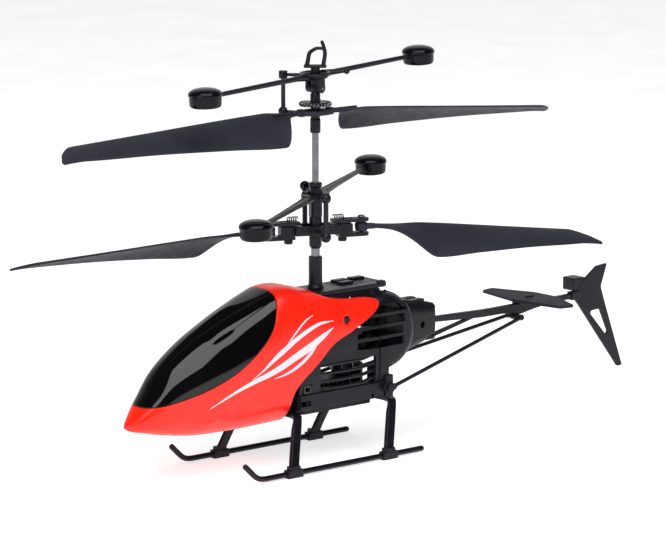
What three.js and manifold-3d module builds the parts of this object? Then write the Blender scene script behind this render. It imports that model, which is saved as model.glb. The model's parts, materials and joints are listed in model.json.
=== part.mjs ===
// Coaxial two-rotor toy helicopter, about 18 cm long.
// Frame: +X towards the nose, +Y to port, +Z up, millimetres.
// The parts are laid out with z = 0 on the ground and the rotor axis at x = y = 0.  The finished
// group is lowered by BELLY, so that the origin is on the underside of the battery tray.

import * as THREE from 'three';
import { mergeVertices } from 'three/addons/utils/BufferGeometryUtils.js';
import Module from 'manifold-3d';

const wasm = await Module();
wasm.setup();

const rad = THREE.MathUtils.degToRad;
const V2 = THREE.Vector2;
const V3 = THREE.Vector3;

// ---------------------------------------------------------------- driving dimensions

const FIT = 0.05;                 // running clearance

const BELLY = 13.5;               // underside of the battery tray above the ground

const FRAME = { bottom: 14.8, top: 43.4, half: 9.2, front: 13, back: -17.5, wall: 1.0, seam: 0.1 };
const DECK = { bottom: 43.5, top: 44.7, half: 5.3, front: 5.2, rear: -20.6, bore: 2.0 };
const MAST = { base: 44.85, top: 53.2, radius: 1.8, foot: 2.2, bore: 1.25 };
const OUTER_SHAFT = { radius: 1.15, bore: 0.95, bottom: 31.2, top: 57.0 };
const INNER_SHAFT = { radius: 0.87, bottom: 16.4, top: 89.0 };

const GEAR = { module: 0.5, teeth: 28, pinionTeeth: 8, height: 2.2 };
const MOTOR = { radius: 3.0, bottom: 22.2, top: 31.8 };
const MOTOR_OFFSET = GEAR.module * (GEAR.teeth + GEAR.pinionTeeth) / 2;
const LOWER_GEAR_Z = 34.3;
const UPPER_GEAR_Z = 18.6;
const BRIDGE = { bottom: 32.2, top: 33.2 };

const NOSE = { tip: 62.7, wall: 0.9 };
const SHELL_SCREW = { x: -2.1, z: 37.5, head: 1.3, shank: 0.7 };
const SWITCH = { x: 10.3, z: 17.0, travel: 1.6 };
const SOCKET = { x: 10.4, z: 20.6 };

const SKID = { y: 15.1, z: 1.1, radius: 0.75, rear: -24.3, bend: 29.5, tip: 36.6, tipZ: 5.7 };
const LEG = { front: 13.3, rear: -19.0, rake: 6.8, width: 2.8, thickness: 1.2 };
const CLAMP = { length: 5, side: 2.2 };

const BOOM = { root: -39.4, end: -92.2, thickness: 1.6 };
const STRUT = { radius: 0.55, low: new V3(-16.6, 9.6, 17.7), high: new V3(-71.3, 1.6, 28.2) };

const ROTOR_TIP = 79.5;
const UPPER_TIP = 77.5;
const FLYBAR_RADIUS = 41;
const WEIGHT = { radius: 4.35, height: 5.0 };
const BAR_END = FLYBAR_RADIUS - WEIGHT.radius + 2.2;

const UPPER = {
  rotorZ: 91.0, rotorTurn: -7.5, droop: 3.7,
  flybarZ: 97.3, barRise: 3.2, flybarTurn: 7.8, flybarTilt: 2.2,
  armTurn: -29, armRadius: 8.33, armRise: 3.9, hornRise: 0.4,
};
const LOWER = {
  rotorZ: 60.3, rotorTurn: -21.5, droop: 5.7, bladeTurnA: -3.5, bladeTurnB: 3.5,
  flybarZ: 69.1, flybarTurn: 28.5, flybarTilt: 3.3,
  armRadius: 8.5, armRise: 0.9, hornDrop: 0.8, pin: 12.6,
};

// ---------------------------------------------------------------- materials

const finish = (color, roughness, metalness = 0) => (
  new THREE.MeshStandardMaterial({ color, roughness, metalness }));
const blackPlastic = () => finish(0x23232b, 0.45);
const bladePlastic = () => finish(0x2a2a35, 0.5);
const glossBlack = () => finish(0x08080b, 0.08);
const redShell = () => finish(0xff2a18, 0.22);
const steel = () => finish(0xb4b2b8, 0.25, 1.0);
const nylon = () => finish(0xe9e6dc, 0.5);

// ---------------------------------------------------------------- solids

// Turns every triangle over when the mesh is inside out.
function faceOutward(geometry) {
  const p = geometry.attributes.position;
  const index = geometry.index.array;
  const [a, b, c] = [new V3(), new V3(), new V3()];
  let volume = 0;
  for (let i = 0; i < index.length; i += 3) {
    a.fromBufferAttribute(p, index[i]);
    b.fromBufferAttribute(p, index[i + 1]);
    c.fromBufferAttribute(p, index[i + 2]);
    volume += a.dot(b.cross(c));
  }
  if (volume < 0) {
    for (let i = 0; i < index.length; i += 3) {
      [index[i + 1], index[i + 2]] = [index[i + 2], index[i + 1]];
    }
  }
  return geometry;
}

function closed(geometry) {
  const plain = geometry.clone();
  plain.deleteAttribute('normal');
  plain.deleteAttribute('uv');
  return faceOutward(mergeVertices(plain, 1e-4));
}

function toSolid(geometry) {
  const mesh = closed(geometry);
  return new wasm.Manifold(new wasm.Mesh({
    numProp: 3,
    vertProperties: mesh.attributes.position.array,
    triVerts: new Uint32Array(mesh.index.array),
  }));
}

function toGeometry(solid) {
  const mesh = solid.getMesh();
  const geometry = new THREE.BufferGeometry();
  geometry.setAttribute('position', new THREE.BufferAttribute(new Float32Array(mesh.vertProperties), 3));
  geometry.setIndex(new THREE.BufferAttribute(new Uint32Array(mesh.triVerts), 1));
  return geometry;
}

const combine = (verb, first, rest) => (
  toGeometry(rest.reduce((sum, g) => sum[verb](toSolid(g)), toSolid(first))));
const join = (first, ...rest) => combine('add', first, rest);
const cut = (first, ...rest) => combine('subtract', first, rest);
const overlap = (first, ...rest) => combine('intersect', first, rest);

// ---------------------------------------------------------------- basic shapes

const box = (x0, x1, y0, y1, z0, z1) => new THREE.BoxGeometry(x1 - x0, y1 - y0, z1 - z0)
  .translate((x0 + x1) / 2, (y0 + y1) / 2, (z0 + z1) / 2);
const ball = (radius, at, sides = 8) => new THREE.SphereGeometry(radius, sides, sides / 2 + 1)
  .translate(at.x, at.y, at.z);

function rod(from, to, radius, sides = 10, endRadius = radius) {
  const along = to.clone().sub(from);
  const turn = new THREE.Quaternion().setFromUnitVectors(new V3(0, 1, 0), along.clone().normalize());
  const middle = from.clone().add(to).multiplyScalar(0.5);
  return new THREE.CylinderGeometry(endRadius, radius, along.length(), sides)
    .applyQuaternion(turn)
    .translate(middle.x, middle.y, middle.z);
}

const post = (radius, z0, z1, x = 0, y = 0, sides = 16) => (
  rod(new V3(x, y, z0), new V3(x, y, z1), radius, sides));
const pinY = (radius, y0, y1, x, z, sides = 12) => rod(new V3(x, y0, z), new V3(x, y1, z), radius, sides);
const pinX = (radius, x0, x1, y, z, sides = 12) => rod(new V3(x0, y, z), new V3(x1, y, z), radius, sides);

// Turned part about Z from [radius, height] corners.
const turned = (corners, sides = 16) => (
  new THREE.LatheGeometry(corners.map(([r, z]) => new V2(r, z)), sides).rotateX(Math.PI / 2));

const ringPart = (outer, inner, z0, z1, sides = 16) => turned(
  [[inner, z0], [outer, z0], [outer, z1], [inner, z1], [inner, z0]], sides);

const flatPlate = (shape, z0, z1, curveSegments = 2) => new THREE.ExtrudeGeometry(
  shape, { depth: z1 - z0, bevelEnabled: false, curveSegments }).translate(0, 0, z0);

// An outline drawn in X-Z and given a thickness along Y.
const sidePlate = (shape, y0, y1) => new THREE.ExtrudeGeometry(
  shape, { depth: y1 - y0, bevelEnabled: false }).rotateX(Math.PI / 2).translate(0, y1, 0);

const outline = (points) => new THREE.Shape(points.map(([a, b]) => new V2(a, b)));

function roundedRect(x0, x1, y0, y1, r) {
  const shape = new THREE.Shape();
  shape.moveTo(x0 + r, y0);
  shape.absarc(x1 - r, y0 + r, r, -Math.PI / 2, 0);
  shape.absarc(x1 - r, y1 - r, r, 0, Math.PI / 2);
  shape.absarc(x0 + r, y1 - r, r, Math.PI / 2, Math.PI);
  shape.absarc(x0 + r, y0 + r, r, Math.PI, 1.5 * Math.PI);
  return shape;
}

function ellipseRing(rx, ry, holeX, holeY) {
  const shape = new THREE.Shape().absellipse(0, 0, rx, ry, 0, 2 * Math.PI);
  shape.holes.push(new THREE.Path().absellipse(0, 0, holeX, holeY, 0, 2 * Math.PI));
  return shape;
}

// A skin through rings that all have the same number of points, with a fan closing each end.
function loft(rings) {
  const count = rings[0].length;
  const position = [];
  const index = [];
  const put = (p) => position.push(p.x, p.y, p.z) / 3 - 1;
  rings.forEach((ring) => ring.forEach(put));
  for (let i = 0; i + 1 < rings.length; i += 1) {
    for (let j = 0; j < count; j += 1) {
      const k = (j + 1) % count;
      const [a, b] = [i * count, (i + 1) * count];
      index.push(a + j, b + j, b + k, a + j, b + k, a + k);
    }
  }
  const cap = (ring, base, flip) => {
    const centre = put(ring.reduce((sum, p) => sum.add(p), new V3()).divideScalar(count));
    for (let j = 0; j < count; j += 1) {
      const k = (j + 1) % count;
      index.push(centre, base + (flip ? k : j), base + (flip ? j : k));
    }
  };
  cap(rings[0], 0, false);
  cap(rings[rings.length - 1], (rings.length - 1) * count, true);
  const geometry = new THREE.BufferGeometry();
  geometry.setAttribute('position', new THREE.Float32BufferAttribute(position, 3));
  geometry.setIndex(index);
  return closed(geometry);
}

// ---------------------------------------------------------------- scene

const helicopter = new THREE.Group();
helicopter.position.z = -BELLY;

function headGroup(z, turn, parent = helicopter) {
  const group = new THREE.Group();
  group.position.z = z;
  group.rotation.z = rad(turn);
  parent.add(group);
  return group;
}

function part(name, geometry, material, parent = helicopter) {
  const mesh = new THREE.Mesh(closed(geometry), material);
  mesh.name = name;
  parent.add(mesh);
  return mesh;
}

// ---------------------------------------------------------------- fuselage frame

// Half of the body's cross-section: [share of the height, share of the half width].
const BODY_PROFILE = [
  [0, 0.88], [0.1, 0.94], [0.3, 1], [0.6, 1], [0.8, 0.92], [0.92, 0.7], [1, 0.57],
];
const CONE_PROFILE = [[0, 0.7], [0.15, 0.95], [0.4, 1], [0.7, 1], [0.9, 0.9], [1, 0.7]];

const CONE = { front: -17, rear: -39 };
const CONE_STATIONS = [
  { x: CONE.front, bottom: 22.3, top: 42.6, half: 5.6 },
  { x: -21.5, bottom: 22.6, top: 41.2, half: 5.4 },
  { x: -26, bottom: 24.0, top: 39.2, half: 5.1 },
  { x: CONE.rear, bottom: 27.3, top: 36.4, half: 3.4 },
];

// Drum at the rear of the body, turned about a cross axis: [radius, distance from the seam].
const DRUM = { x: -18, z: 32 };
const DRUM_PROFILE = [[0, 0.05], [10.3, 0.05], [10.3, 5.0], [9.9, 6.4], [8.9, 7.9], [7.2, 8.8], [0, 9.0]];

const VENTS = { rows: 4, first: 28.4, pitch: 3, height: 2.1, rear: -24.2, front: -6.6, depth: 4.5 };
const LOUVRE_GAPS = [[20.0, 21.5], [22.5, 23.8], [24.8, 26.4]];
const LOUVRE = { rear: -12.9, front: 5, depth: 6 };
const OUTSIDE = 12;               // cuts through the side walls end out here
const CONE_BOSS = { radius: 0.9, y: 2.2, heights: [35.2, 27.4], front: -36.5 };
const CONE_HOLE = { x: -33.8, z: 31.3, radius: 0.9 };

function frameRing(station, profile, inset) {
  const low = station.bottom + inset;
  const high = station.top - inset;
  const side = profile.map(([h, w]) => (
    new V3(station.x, (station.half - inset) * w, low + h * (high - low))));
  const seam = inset > 0 ? -1 : FRAME.seam / 2;
  return [new V3(station.x, seam, low), ...side, new V3(station.x, seam, high)];
}

function bodyBlock(inset, back) {
  const section = { bottom: FRAME.bottom, top: FRAME.top, half: FRAME.half };
  const front = FRAME.front + inset;
  return loft([front, back].map((x) => frameRing({ x, ...section }, BODY_PROFILE, inset)));
}

function drum(inset) {
  const profile = DRUM_PROFILE.map(([r, y]) => [Math.max(r - inset, 0), y - inset]);
  return turned(profile).rotateX(-Math.PI / 2).translate(DRUM.x, 0, DRUM.z);
}

function frameHalf(extraCuts) {
  const cone = loft(CONE_STATIONS.map((s) => frameRing(s, CONE_PROFILE, 0)));
  const hollowCone = CONE_STATIONS.slice(0, 3).map((s) => frameRing(s, CONE_PROFILE, FRAME.wall));
  hollowCone[0].forEach((p) => p.setX(-15));
  const cuts = [
    bodyBlock(FRAME.wall, FRAME.back - 2), drum(FRAME.wall), loft(hollowCone),
    box(-24.5, FRAME.back, -1, 5.5, 20, 24),
    box(DECK.front, FRAME.front + 1, -1, OUTSIDE, 38, 46),
    post(DECK.bore + 0.1, 41, 45),
    pinY(CONE_HOLE.radius, -1, 6, CONE_HOLE.x, CONE_HOLE.z),
    pinY(SHELL_SCREW.shank + FIT, 5, OUTSIDE, SHELL_SCREW.x, SHELL_SCREW.z),
  ];
  for (let row = 0; row < VENTS.rows; row += 1) {
    const low = VENTS.first + row * VENTS.pitch;
    cuts.push(box(VENTS.rear, VENTS.front, VENTS.depth, OUTSIDE, low, low + VENTS.height));
  }
  LOUVRE_GAPS.forEach(([low, high]) => (
    cuts.push(box(LOUVRE.rear, LOUVRE.front, LOUVRE.depth, OUTSIDE, low, high))));
  const foot = box(-18.6, -15.8, 7.0, 9.6, FRAME.bottom, 20.9);
  const strutBoss = pinY(1.3, 7.5, 10.2, STRUT.low.x, STRUT.low.z);
  const coneBosses = CONE_BOSS.heights.map((z) => (
    pinX(CONE_BOSS.radius, CONE.rear - 0.3, CONE_BOSS.front, CONE_BOSS.y, z, 12)));
  const body = join(bodyBlock(0, FRAME.back), drum(0), cone, foot, strutBoss, ...coneBosses);
  return cut(body, ...cuts, ...extraCuts);
}

const switchCuts = [
  box(SWITCH.x - 0.8, SWITCH.x + SWITCH.travel + 0.8, 6, 12, SWITCH.z - 0.7, SWITCH.z + 0.7),
  box(SOCKET.x - 1.5, SOCKET.x + 1.5, 6, 12, SOCKET.z - 1.3, SOCKET.z + 1.3),
];
part('frame_left', frameHalf(switchCuts), blackPlastic());
part('frame_right', frameHalf([]).scale(1, -1, 1), blackPlastic());

function topDeck() {
  const shape = roundedRect(DECK.rear, DECK.front, -DECK.half, DECK.half, 1.4);
  const pads = [[-18.6, -14.2, -4.6, -2.4], [-13, -9, -4.6, -2.4], [-19.6, -17.8, 2.6, 4.6]];
  const raised = pads.map(([x0, x1, y0, y1]) => box(x0, x1, y0, y1, DECK.top - 0.2, DECK.top + 0.6));
  return cut(join(flatPlate(shape, DECK.bottom, DECK.top), ...raised), post(DECK.bore, 40, 50));
}
part('top_deck', topDeck(), blackPlastic());

const trayShape = roundedRect(-13.5, 10.5, -7, 7, 1.2);
part('battery_tray', flatPlate(trayShape, BELLY, FRAME.bottom - 0.15), blackPlastic());

part('mast_sleeve', turned([
  [MAST.bore, MAST.base], [MAST.foot, MAST.base], [MAST.foot, MAST.base + 0.3],
  [MAST.radius, MAST.base + 1.0], [MAST.radius, MAST.top], [MAST.bore, MAST.top], [MAST.bore, MAST.base],
]), blackPlastic());

// ---------------------------------------------------------------- drive train

part('bearing_top', ringPart(DECK.bore - FIT, OUTER_SHAFT.radius + FIT, 42.6, DECK.top), nylon());

function bearingBridge() {
  const plate = flatPlate(roundedRect(-12, 12, -7, 7, 3), BRIDGE.bottom, BRIDGE.top);
  const boss = post(2.2, BRIDGE.bottom - 1.2, BRIDGE.top);
  const bore = post(OUTER_SHAFT.radius + FIT, 30, 36);
  const motorHole = (x) => post(1.4, 30, 36, x, 0, 16);
  return cut(join(plate, boss), bore, motorHole(MOTOR_OFFSET), motorHole(-MOTOR_OFFSET));
}
part('bearing_bridge', bearingBridge(), blackPlastic());

const floor = FRAME.bottom + FRAME.wall + FIT;
part('bearing_bottom', ringPart(2.0, INNER_SHAFT.radius + FIT, floor, 17.5), nylon());

// Straight-sided teeth, slightly thinner than the gaps that they run in.
function gearShape(teeth, firstTooth) {
  const pitch = GEAR.module * teeth / 2;
  const [root, crest] = [pitch - 1.3 * GEAR.module, pitch + 0.75 * GEAR.module];
  const step = 2 * Math.PI / teeth;
  const points = [];
  for (let i = 0; i < teeth; i += 1) {
    const corners = [[root, -0.27], [crest, -0.12], [crest, 0.12], [root, 0.27]];
    corners.forEach(([r, share]) => {
      const angle = firstTooth + (i + share) * step;
      points.push([r * Math.cos(angle), r * Math.sin(angle)]);
    });
  }
  return outline(points);
}

function mainGear(z, bore) {
  const hub = post(2.4, z - 0.8, z + GEAR.height, 0, 0, 16);
  const wheel = flatPlate(gearShape(GEAR.teeth, 0), z, z + GEAR.height);
  return cut(join(wheel, hub), post(bore, z - 2, z + 4));
}
part('lower_rotor_gear', mainGear(LOWER_GEAR_Z, OUTER_SHAFT.radius + FIT / 2), nylon());
part('upper_rotor_gear', mainGear(UPPER_GEAR_Z, INNER_SHAFT.radius + FIT / 2), nylon());

const tube = ringPart(OUTER_SHAFT.radius, OUTER_SHAFT.bore, OUTER_SHAFT.bottom, OUTER_SHAFT.top);
part('outer_shaft', tube, steel());
part('inner_shaft', post(INNER_SHAFT.radius, INNER_SHAFT.bottom, INNER_SHAFT.top), steel());

function motor(side) {
  const can = post(MOTOR.radius, MOTOR.bottom, MOTOR.top);
  const bossZ = side > 0 ? [MOTOR.top - 0.2, MOTOR.top + 0.8] : [MOTOR.bottom - 0.8, MOTOR.bottom + 0.2];
  const shaftHole = side > 0 ? [MOTOR.top - 2, MOTOR.top + 2] : [MOTOR.bottom - 2, MOTOR.bottom + 2];
  const flats = [box(-4, 4, 2.4, 4, MOTOR.bottom - 1, MOTOR.top + 1)];
  flats.push(flats[0].clone().rotateZ(Math.PI));
  return cut(join(can, post(1.0, ...bossZ)), post(0.5, ...shaftHole, 0, 0, 12), ...flats);
}

// Pinion with the shaft stub that it is pressed on.
function pinion(z, stubZ) {
  const teeth = gearShape(GEAR.pinionTeeth, Math.PI / GEAR.pinionTeeth);
  return join(flatPlate(teeth, z, z + GEAR.height + 0.4), post(0.4, ...stubZ, 0, 0, 12));
}
part('motor_front', motor(1), steel()).position.x = MOTOR_OFFSET;
part('motor_rear', motor(-1), steel()).position.x = -MOTOR_OFFSET;
const pinionFront = pinion(LOWER_GEAR_Z - 0.2, [MOTOR.top - 1.6, LOWER_GEAR_Z + 1]);
const pinionRear = pinion(UPPER_GEAR_Z - 0.2, [UPPER_GEAR_Z + 1, MOTOR.bottom + 1.6]);
part('pinion_front', pinionFront, nylon()).position.x = MOTOR_OFFSET;
part('pinion_rear', pinionRear, nylon()).position.x = -MOTOR_OFFSET;

// ---------------------------------------------------------------- electronics

part('battery', flatPlate(roundedRect(17, 40, -5.2, 5.2, 1.2), 15.2, 22.4), finish(0x9fa4ad, 0.35, 0.4));

function circuitBoard() {
  const board = flatPlate(roundedRect(15, 42, -7, 7, 0.8), 23.6, 24.6);
  const chips = [[18, 23, -3, 2], [26, 29, -4.5, -1.5], [30, 34, 1, 5]].map(
    ([x0, x1, y0, y1]) => box(x0, x1, y0, y1, 24.4, 25.6));
  return join(board, ...chips);
}
part('circuit_board', circuitBoard(), finish(0x1c5a34, 0.4));

function receiver() {
  const can = box(37, 40.4, -2.4, 2.4, 24.9, 28.4);
  const lens = overlap(ball(1.6, new V3(40.3, 0, 26.8)), box(39.5, 43, -3, 3, 24.9, 30));
  return join(can, lens);
}
part('ir_receiver', receiver(), glossBlack());

function led() {
  return join(pinX(1.2, 42.6, 45.4, 0, 24.1), ball(1.2, new V3(45.4, 0, 24.1)));
}
part('led', led(), finish(0xdfe8ff, 0.1));

function chargeSocket() {
  const body = box(SOCKET.x - 1.2, SOCKET.x + 1.2, 6.4, 9.2, SOCKET.z - 1.0, SOCKET.z + 1.0);
  return cut(body, box(SOCKET.x - 0.8, SOCKET.x + 0.8, 7.4, 10, SOCKET.z - 0.6, SOCKET.z + 0.6));
}
part('charge_socket', chargeSocket(), nylon());

function powerSwitch() {
  const knob = box(SWITCH.x - 0.5, SWITCH.x + 0.5, 6.8, 9.0, SWITCH.z - 0.5, SWITCH.z + 0.5);
  const flange = box(SWITCH.x - 1.3, SWITCH.x + 1.3, 6.4, 7.1, SWITCH.z - 1.1, SWITCH.z + 1.1);
  return join(knob, flange);
}
part('power_switch', powerSwitch(), blackPlastic());

// ---------------------------------------------------------------- nose shell and canopy

// Side view and plan of the nose: bottom, top and half width along the length.
const curveThrough = (points) => new THREE.SplineCurve(points.map(([a, b]) => new V2(a, b)));
const noseBottom = curveThrough([
  [-17, 13.4], [0, 13.0], [14, 12.3], [30, 11.7], [42, 11.9], [52, 13.3], [57, 14.4], [61.1, 15.4],
  [NOSE.tip, 16.3],
]);
const noseTop = curveThrough([
  [-17, 44.2], [0, 45.1], [8, 46.2], [12.5, 47.4], [17, 47.3], [21, 46.1], [25, 44.6], [34, 40.9], [43, 36.3],
  [51, 30.6], [56, 24.5], [61.1, 18.7], [NOSE.tip, 17.1],
]);
const noseHalf = curveThrough([
  [-17, 10.8], [-4, 11.1], [8, 11.3], [20, 11.1], [32, 10.4], [42, 9.1], [51, 7.0], [57, 4.9], [61.1, 2.3],
  [NOSE.tip, 0.6],
]);

// Value of a curve drawn over x, found by halving.
function valueAt(curve, x) {
  let [low, high] = [0, 1];
  for (let i = 0; i < 40; i += 1) {
    const middle = (low + high) / 2;
    if (curve.getPoint(middle).x < x) {
      low = middle;
    } else {
      high = middle;
    }
  }
  return curve.getPoint(low).y;
}

const NOSE_SIDES = 22;
const NOSE_X = [-17, -5, 6, 12.5, 18, 26, 36, 44, 51, 56, 61.1, NOSE.tip];

function noseRing(x, inset) {
  const [low, high] = [valueAt(noseBottom, x) + inset, valueAt(noseTop, x) - inset];
  const half = valueAt(noseHalf, x) - inset;
  const power = 2 / THREE.MathUtils.mapLinear(THREE.MathUtils.clamp(x, 8, 36), 8, 36, 3.1, 2.4);
  const ring = [];
  for (let i = 0; i < NOSE_SIDES; i += 1) {
    const angle = 2 * Math.PI * i / NOSE_SIDES;
    const [c, s] = [Math.cos(angle), Math.sin(angle)];
    const y = half * Math.sign(c) * Math.abs(c) ** power;
    const z = (low + high) / 2 + (high - low) / 2 * Math.sign(s) * Math.abs(s) ** power;
    ring.push(new V3(x, y, z));
  }
  return ring;
}

function noseSkin() {
  const outer = loft(NOSE_X.map((x) => noseRing(x, 0)));
  const innerX = NOSE_X.slice(0, -1);
  const rings = innerX.map((x) => noseRing(x, NOSE.wall));
  rings[0].forEach((p) => p.setX(-19));
  return cut(outer, loft(rings));
}

// Window outline in side view, with the rear and lower edges as one smooth curve.
function windowOutline(grow) {
  const shift = grow * Math.SQRT1_2;
  const edge = curveThrough([
    [18, 52], [18.7, 46.6], [20.4, 42.3], [22.6, 38], [26.4, 33.9], [33.7, 28.7], [42, 25.2], [50, 22.9],
    [57, 21.6], [66, 21.2],
  ]);
  const points = edge.getPoints(16).map((p) => p.subScalar(shift));
  return new THREE.Shape([...points, new V2(66, 52)]);
}

// Shell outline: the cheek runs back over the frame as an arm with a rounded tip.
function shellOutline() {
  const edge = curveThrough([
    [8.4, 52], [7.8, 47.5], [5.8, 45], [1.6, 43.3], [-4, 42.4], [-10, 42.1], [-13, 41.6], [-13.8, 40.4],
    [-12.6, 39], [-8.6, 36.9], [-3, 34.4], [3, 31.6], [8, 28], [12.5, 24.2], [15.3, 21], [16.1, 17.5],
    [16.3, 9],
  ]);
  return new THREE.Shape([...edge.getPoints(30), new V2(70, 9), new V2(70, 52)]);
}

const WINDOW_GAP = 0.15;
const acrossNose = (shape) => sidePlate(shape, -14, 14);
const skin = noseSkin();
const [leftScrew, rightScrew] = [1, -1].map((side) => {
  const at = (r, y0, y1) => pinY(r, side * y0, side * y1, SHELL_SCREW.x, SHELL_SCREW.z, 20);
  const geometry = join(at(SHELL_SCREW.head, 9.55, 10.05), at(SHELL_SCREW.shank, 6.9, 9.6));
  const hole = at(SHELL_SCREW.shank + 0.1, 6, 12);
  const seat = at(SHELL_SCREW.head + 0.2, 9.45, 12);
  return { geometry, hole, seat };
});
const deckRoom = box(DECK.rear, DECK.front + 0.3, -DECK.half - 0.3, DECK.half + 0.3, 42, DECK.top + 0.3);
part('nose_shell', cut(
  overlap(skin, acrossNose(shellOutline())), acrossNose(windowOutline(WINDOW_GAP)), deckRoom,
  leftScrew.hole, leftScrew.seat, rightScrew.hole, rightScrew.seat), redShell());
part('canopy_window', overlap(skin, acrossNose(windowOutline(-WINDOW_GAP))), glossBlack());
part('shell_screw_left', leftScrew.geometry, steel());
part('shell_screw_right', rightScrew.geometry, steel());

// ---------------------------------------------------------------- landing gear

// One moulding: clamp, leg, cross member under the frame, leg, clamp.
function legPair(x) {
  const [w, t] = [LEG.width / 2, LEG.thickness / 2];
  const quarter = new V3(0, Math.SQRT1_2, Math.SQRT1_2);
  const half = [
    { at: new V3(x, 0, 14.0), out: new V3(0, 0, 1) },
    { at: new V3(x, 8.2, 14.0), out: new V3(0, 0, 1) },
    { at: new V3(x + 2.6, 11.2, 13.2), out: quarter },
    { at: new V3(x + 3.6, 12.3, 11.4), out: new V3(0, 1, 0) },
    { at: new V3(x + LEG.rake, SKID.y, 2.0), out: new V3(0, 1, 0) },
  ];
  const mirrored = half.slice(1).reverse().map(({ at, out }) => ({
    at: new V3(at.x, -at.y, at.z), out: new V3(out.x, -out.y, out.z) }));
  const rings = [...mirrored, ...half].map(({ at, out }) => [[w, t], [-w, t], [-w, -t], [w, -t]].map(
    ([a, b]) => new V3(at.x + a, at.y + b * out.y, at.z + b * out.z)));
  const clampAt = (side) => {
    const [cx, cy, s] = [x + LEG.rake, side * SKID.y, CLAMP.side / 2];
    return box(cx - CLAMP.length / 2, cx + CLAMP.length / 2, cy - s, cy + s, SKID.z - s, SKID.z + s);
  };
  const bore = (side) => pinX(SKID.radius + FIT, x, x + 14, side * SKID.y, SKID.z, 12);
  return cut(join(loft(rings), clampAt(1), clampAt(-1)), bore(1), bore(-1));
}
part('legs_front', legPair(LEG.front), blackPlastic());
part('legs_rear', legPair(LEG.rear), blackPlastic());

function skid(side) {
  const path = new THREE.CurvePath();
  const y = side * SKID.y;
  const bend = new V3(SKID.bend + 2.6, y, SKID.z);
  path.add(new THREE.LineCurve3(new V3(SKID.rear, y, SKID.z), new V3(SKID.bend, y, SKID.z)));
  path.add(new THREE.QuadraticBezierCurve3(
    new V3(SKID.bend, y, SKID.z), bend, new V3(SKID.bend + 4.2, y, SKID.z + 1.8)));
  path.add(new THREE.LineCurve3(new V3(SKID.bend + 4.2, y, SKID.z + 1.8), new V3(SKID.tip, y, SKID.tipZ)));
  const ring = new THREE.Shape().absarc(0, 0, SKID.radius, 0, 2 * Math.PI);
  const sweep = { extrudePath: path, steps: 16, curveSegments: 5, bevelEnabled: false };
  return new THREE.ExtrudeGeometry(ring, sweep);
}
part('skid_left', skid(1), blackPlastic());
part('skid_right', skid(-1), blackPlastic());

// ---------------------------------------------------------------- tail

function tailBoom() {
  const half = BOOM.thickness / 2;
  const bar = outline([[BOOM.root, 32.1], [-60, 31.6], [BOOM.end, 31.9], [BOOM.end, 30.5], [-84, 30.3],
    [-78, 29.6], [-72, 28.6], [-66.5, 29.6], [-58, 29.6], [BOOM.root, 30.6]]);
  const brace = outline([[BOOM.root, 27.2], [-55, 30.4], [-57, 30.0], [BOOM.root, 26.1]]);
  const foot = box(BOOM.root - 1.0, BOOM.root, -half, half, 26.1, 32.1);
  const bracket = pinY(0.9, -1.2, 1.2, STRUT.high.x, STRUT.high.z, 12);
  return join(sidePlate(bar, -half, half), sidePlate(brace, -half * 0.6, half * 0.6), foot, bracket);
}
part('tail_boom', tailBoom(), blackPlastic());

function strut(side) {
  const low = STRUT.low.clone().add(new V3(0, 1.4, 0)).multiply(new V3(1, side, 1));
  const high = STRUT.high.clone().add(new V3(0, 0.9, 0)).multiply(new V3(1, side, 1));
  const eye = pinY(1.1, side * 10.5, side * 11.5, STRUT.low.x, STRUT.low.z);
  return join(rod(low, high, STRUT.radius, 6), eye, ball(0.8, high, 6));
}
part('strut_left', strut(1), blackPlastic());
part('strut_right', strut(-1), blackPlastic());

function stabiliser() {
  const shape = outline([
    [-70.5, 0], [-73.4, 15.6], [-77.8, 16.4], [-82.6, 4], [-82.6, -4], [-77.8, -16.4], [-73.4, -15.6],
  ]);
  const plate = flatPlate(shape, 32.2, 33.0);
  return join(plate, post(0.9, 32.9, 33.4, -76.5, 0, 12));
}
part('stabiliser', stabiliser(), bladePlastic());

// Fin plate on the port side of the boom's end, with a long window in its lower leg.
function tailFin() {
  const shape = outline([
    [-92.5, 31.6], [-97.4, 35.4], [-102, 38.5], [-105.9, 38.9], [-103.6, 32.6], [-105.4, 27.5],
    [-112.3, 9.2], [-110.6, 9.0], [-95.4, 28.2],
  ]);
  shape.holes.push(outline([[-99.9, 26.2], [-103.4, 26.4], [-106.7, 19.4], [-105.8, 18.6], [-99.6, 25.4]]));
  const pod = cut(box(-97.6, -93.4, -4.4, 0.5, 32.4, 36.0), box(-96.9, -94.1, -5, -0.8, 33, 35.4));
  return join(sidePlate(shape, 0.2, 1.0).translate(0, -0.6, 0), pod);
}
part('tail_fin', tailFin(), blackPlastic());

// ---------------------------------------------------------------- rotor blades

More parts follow.
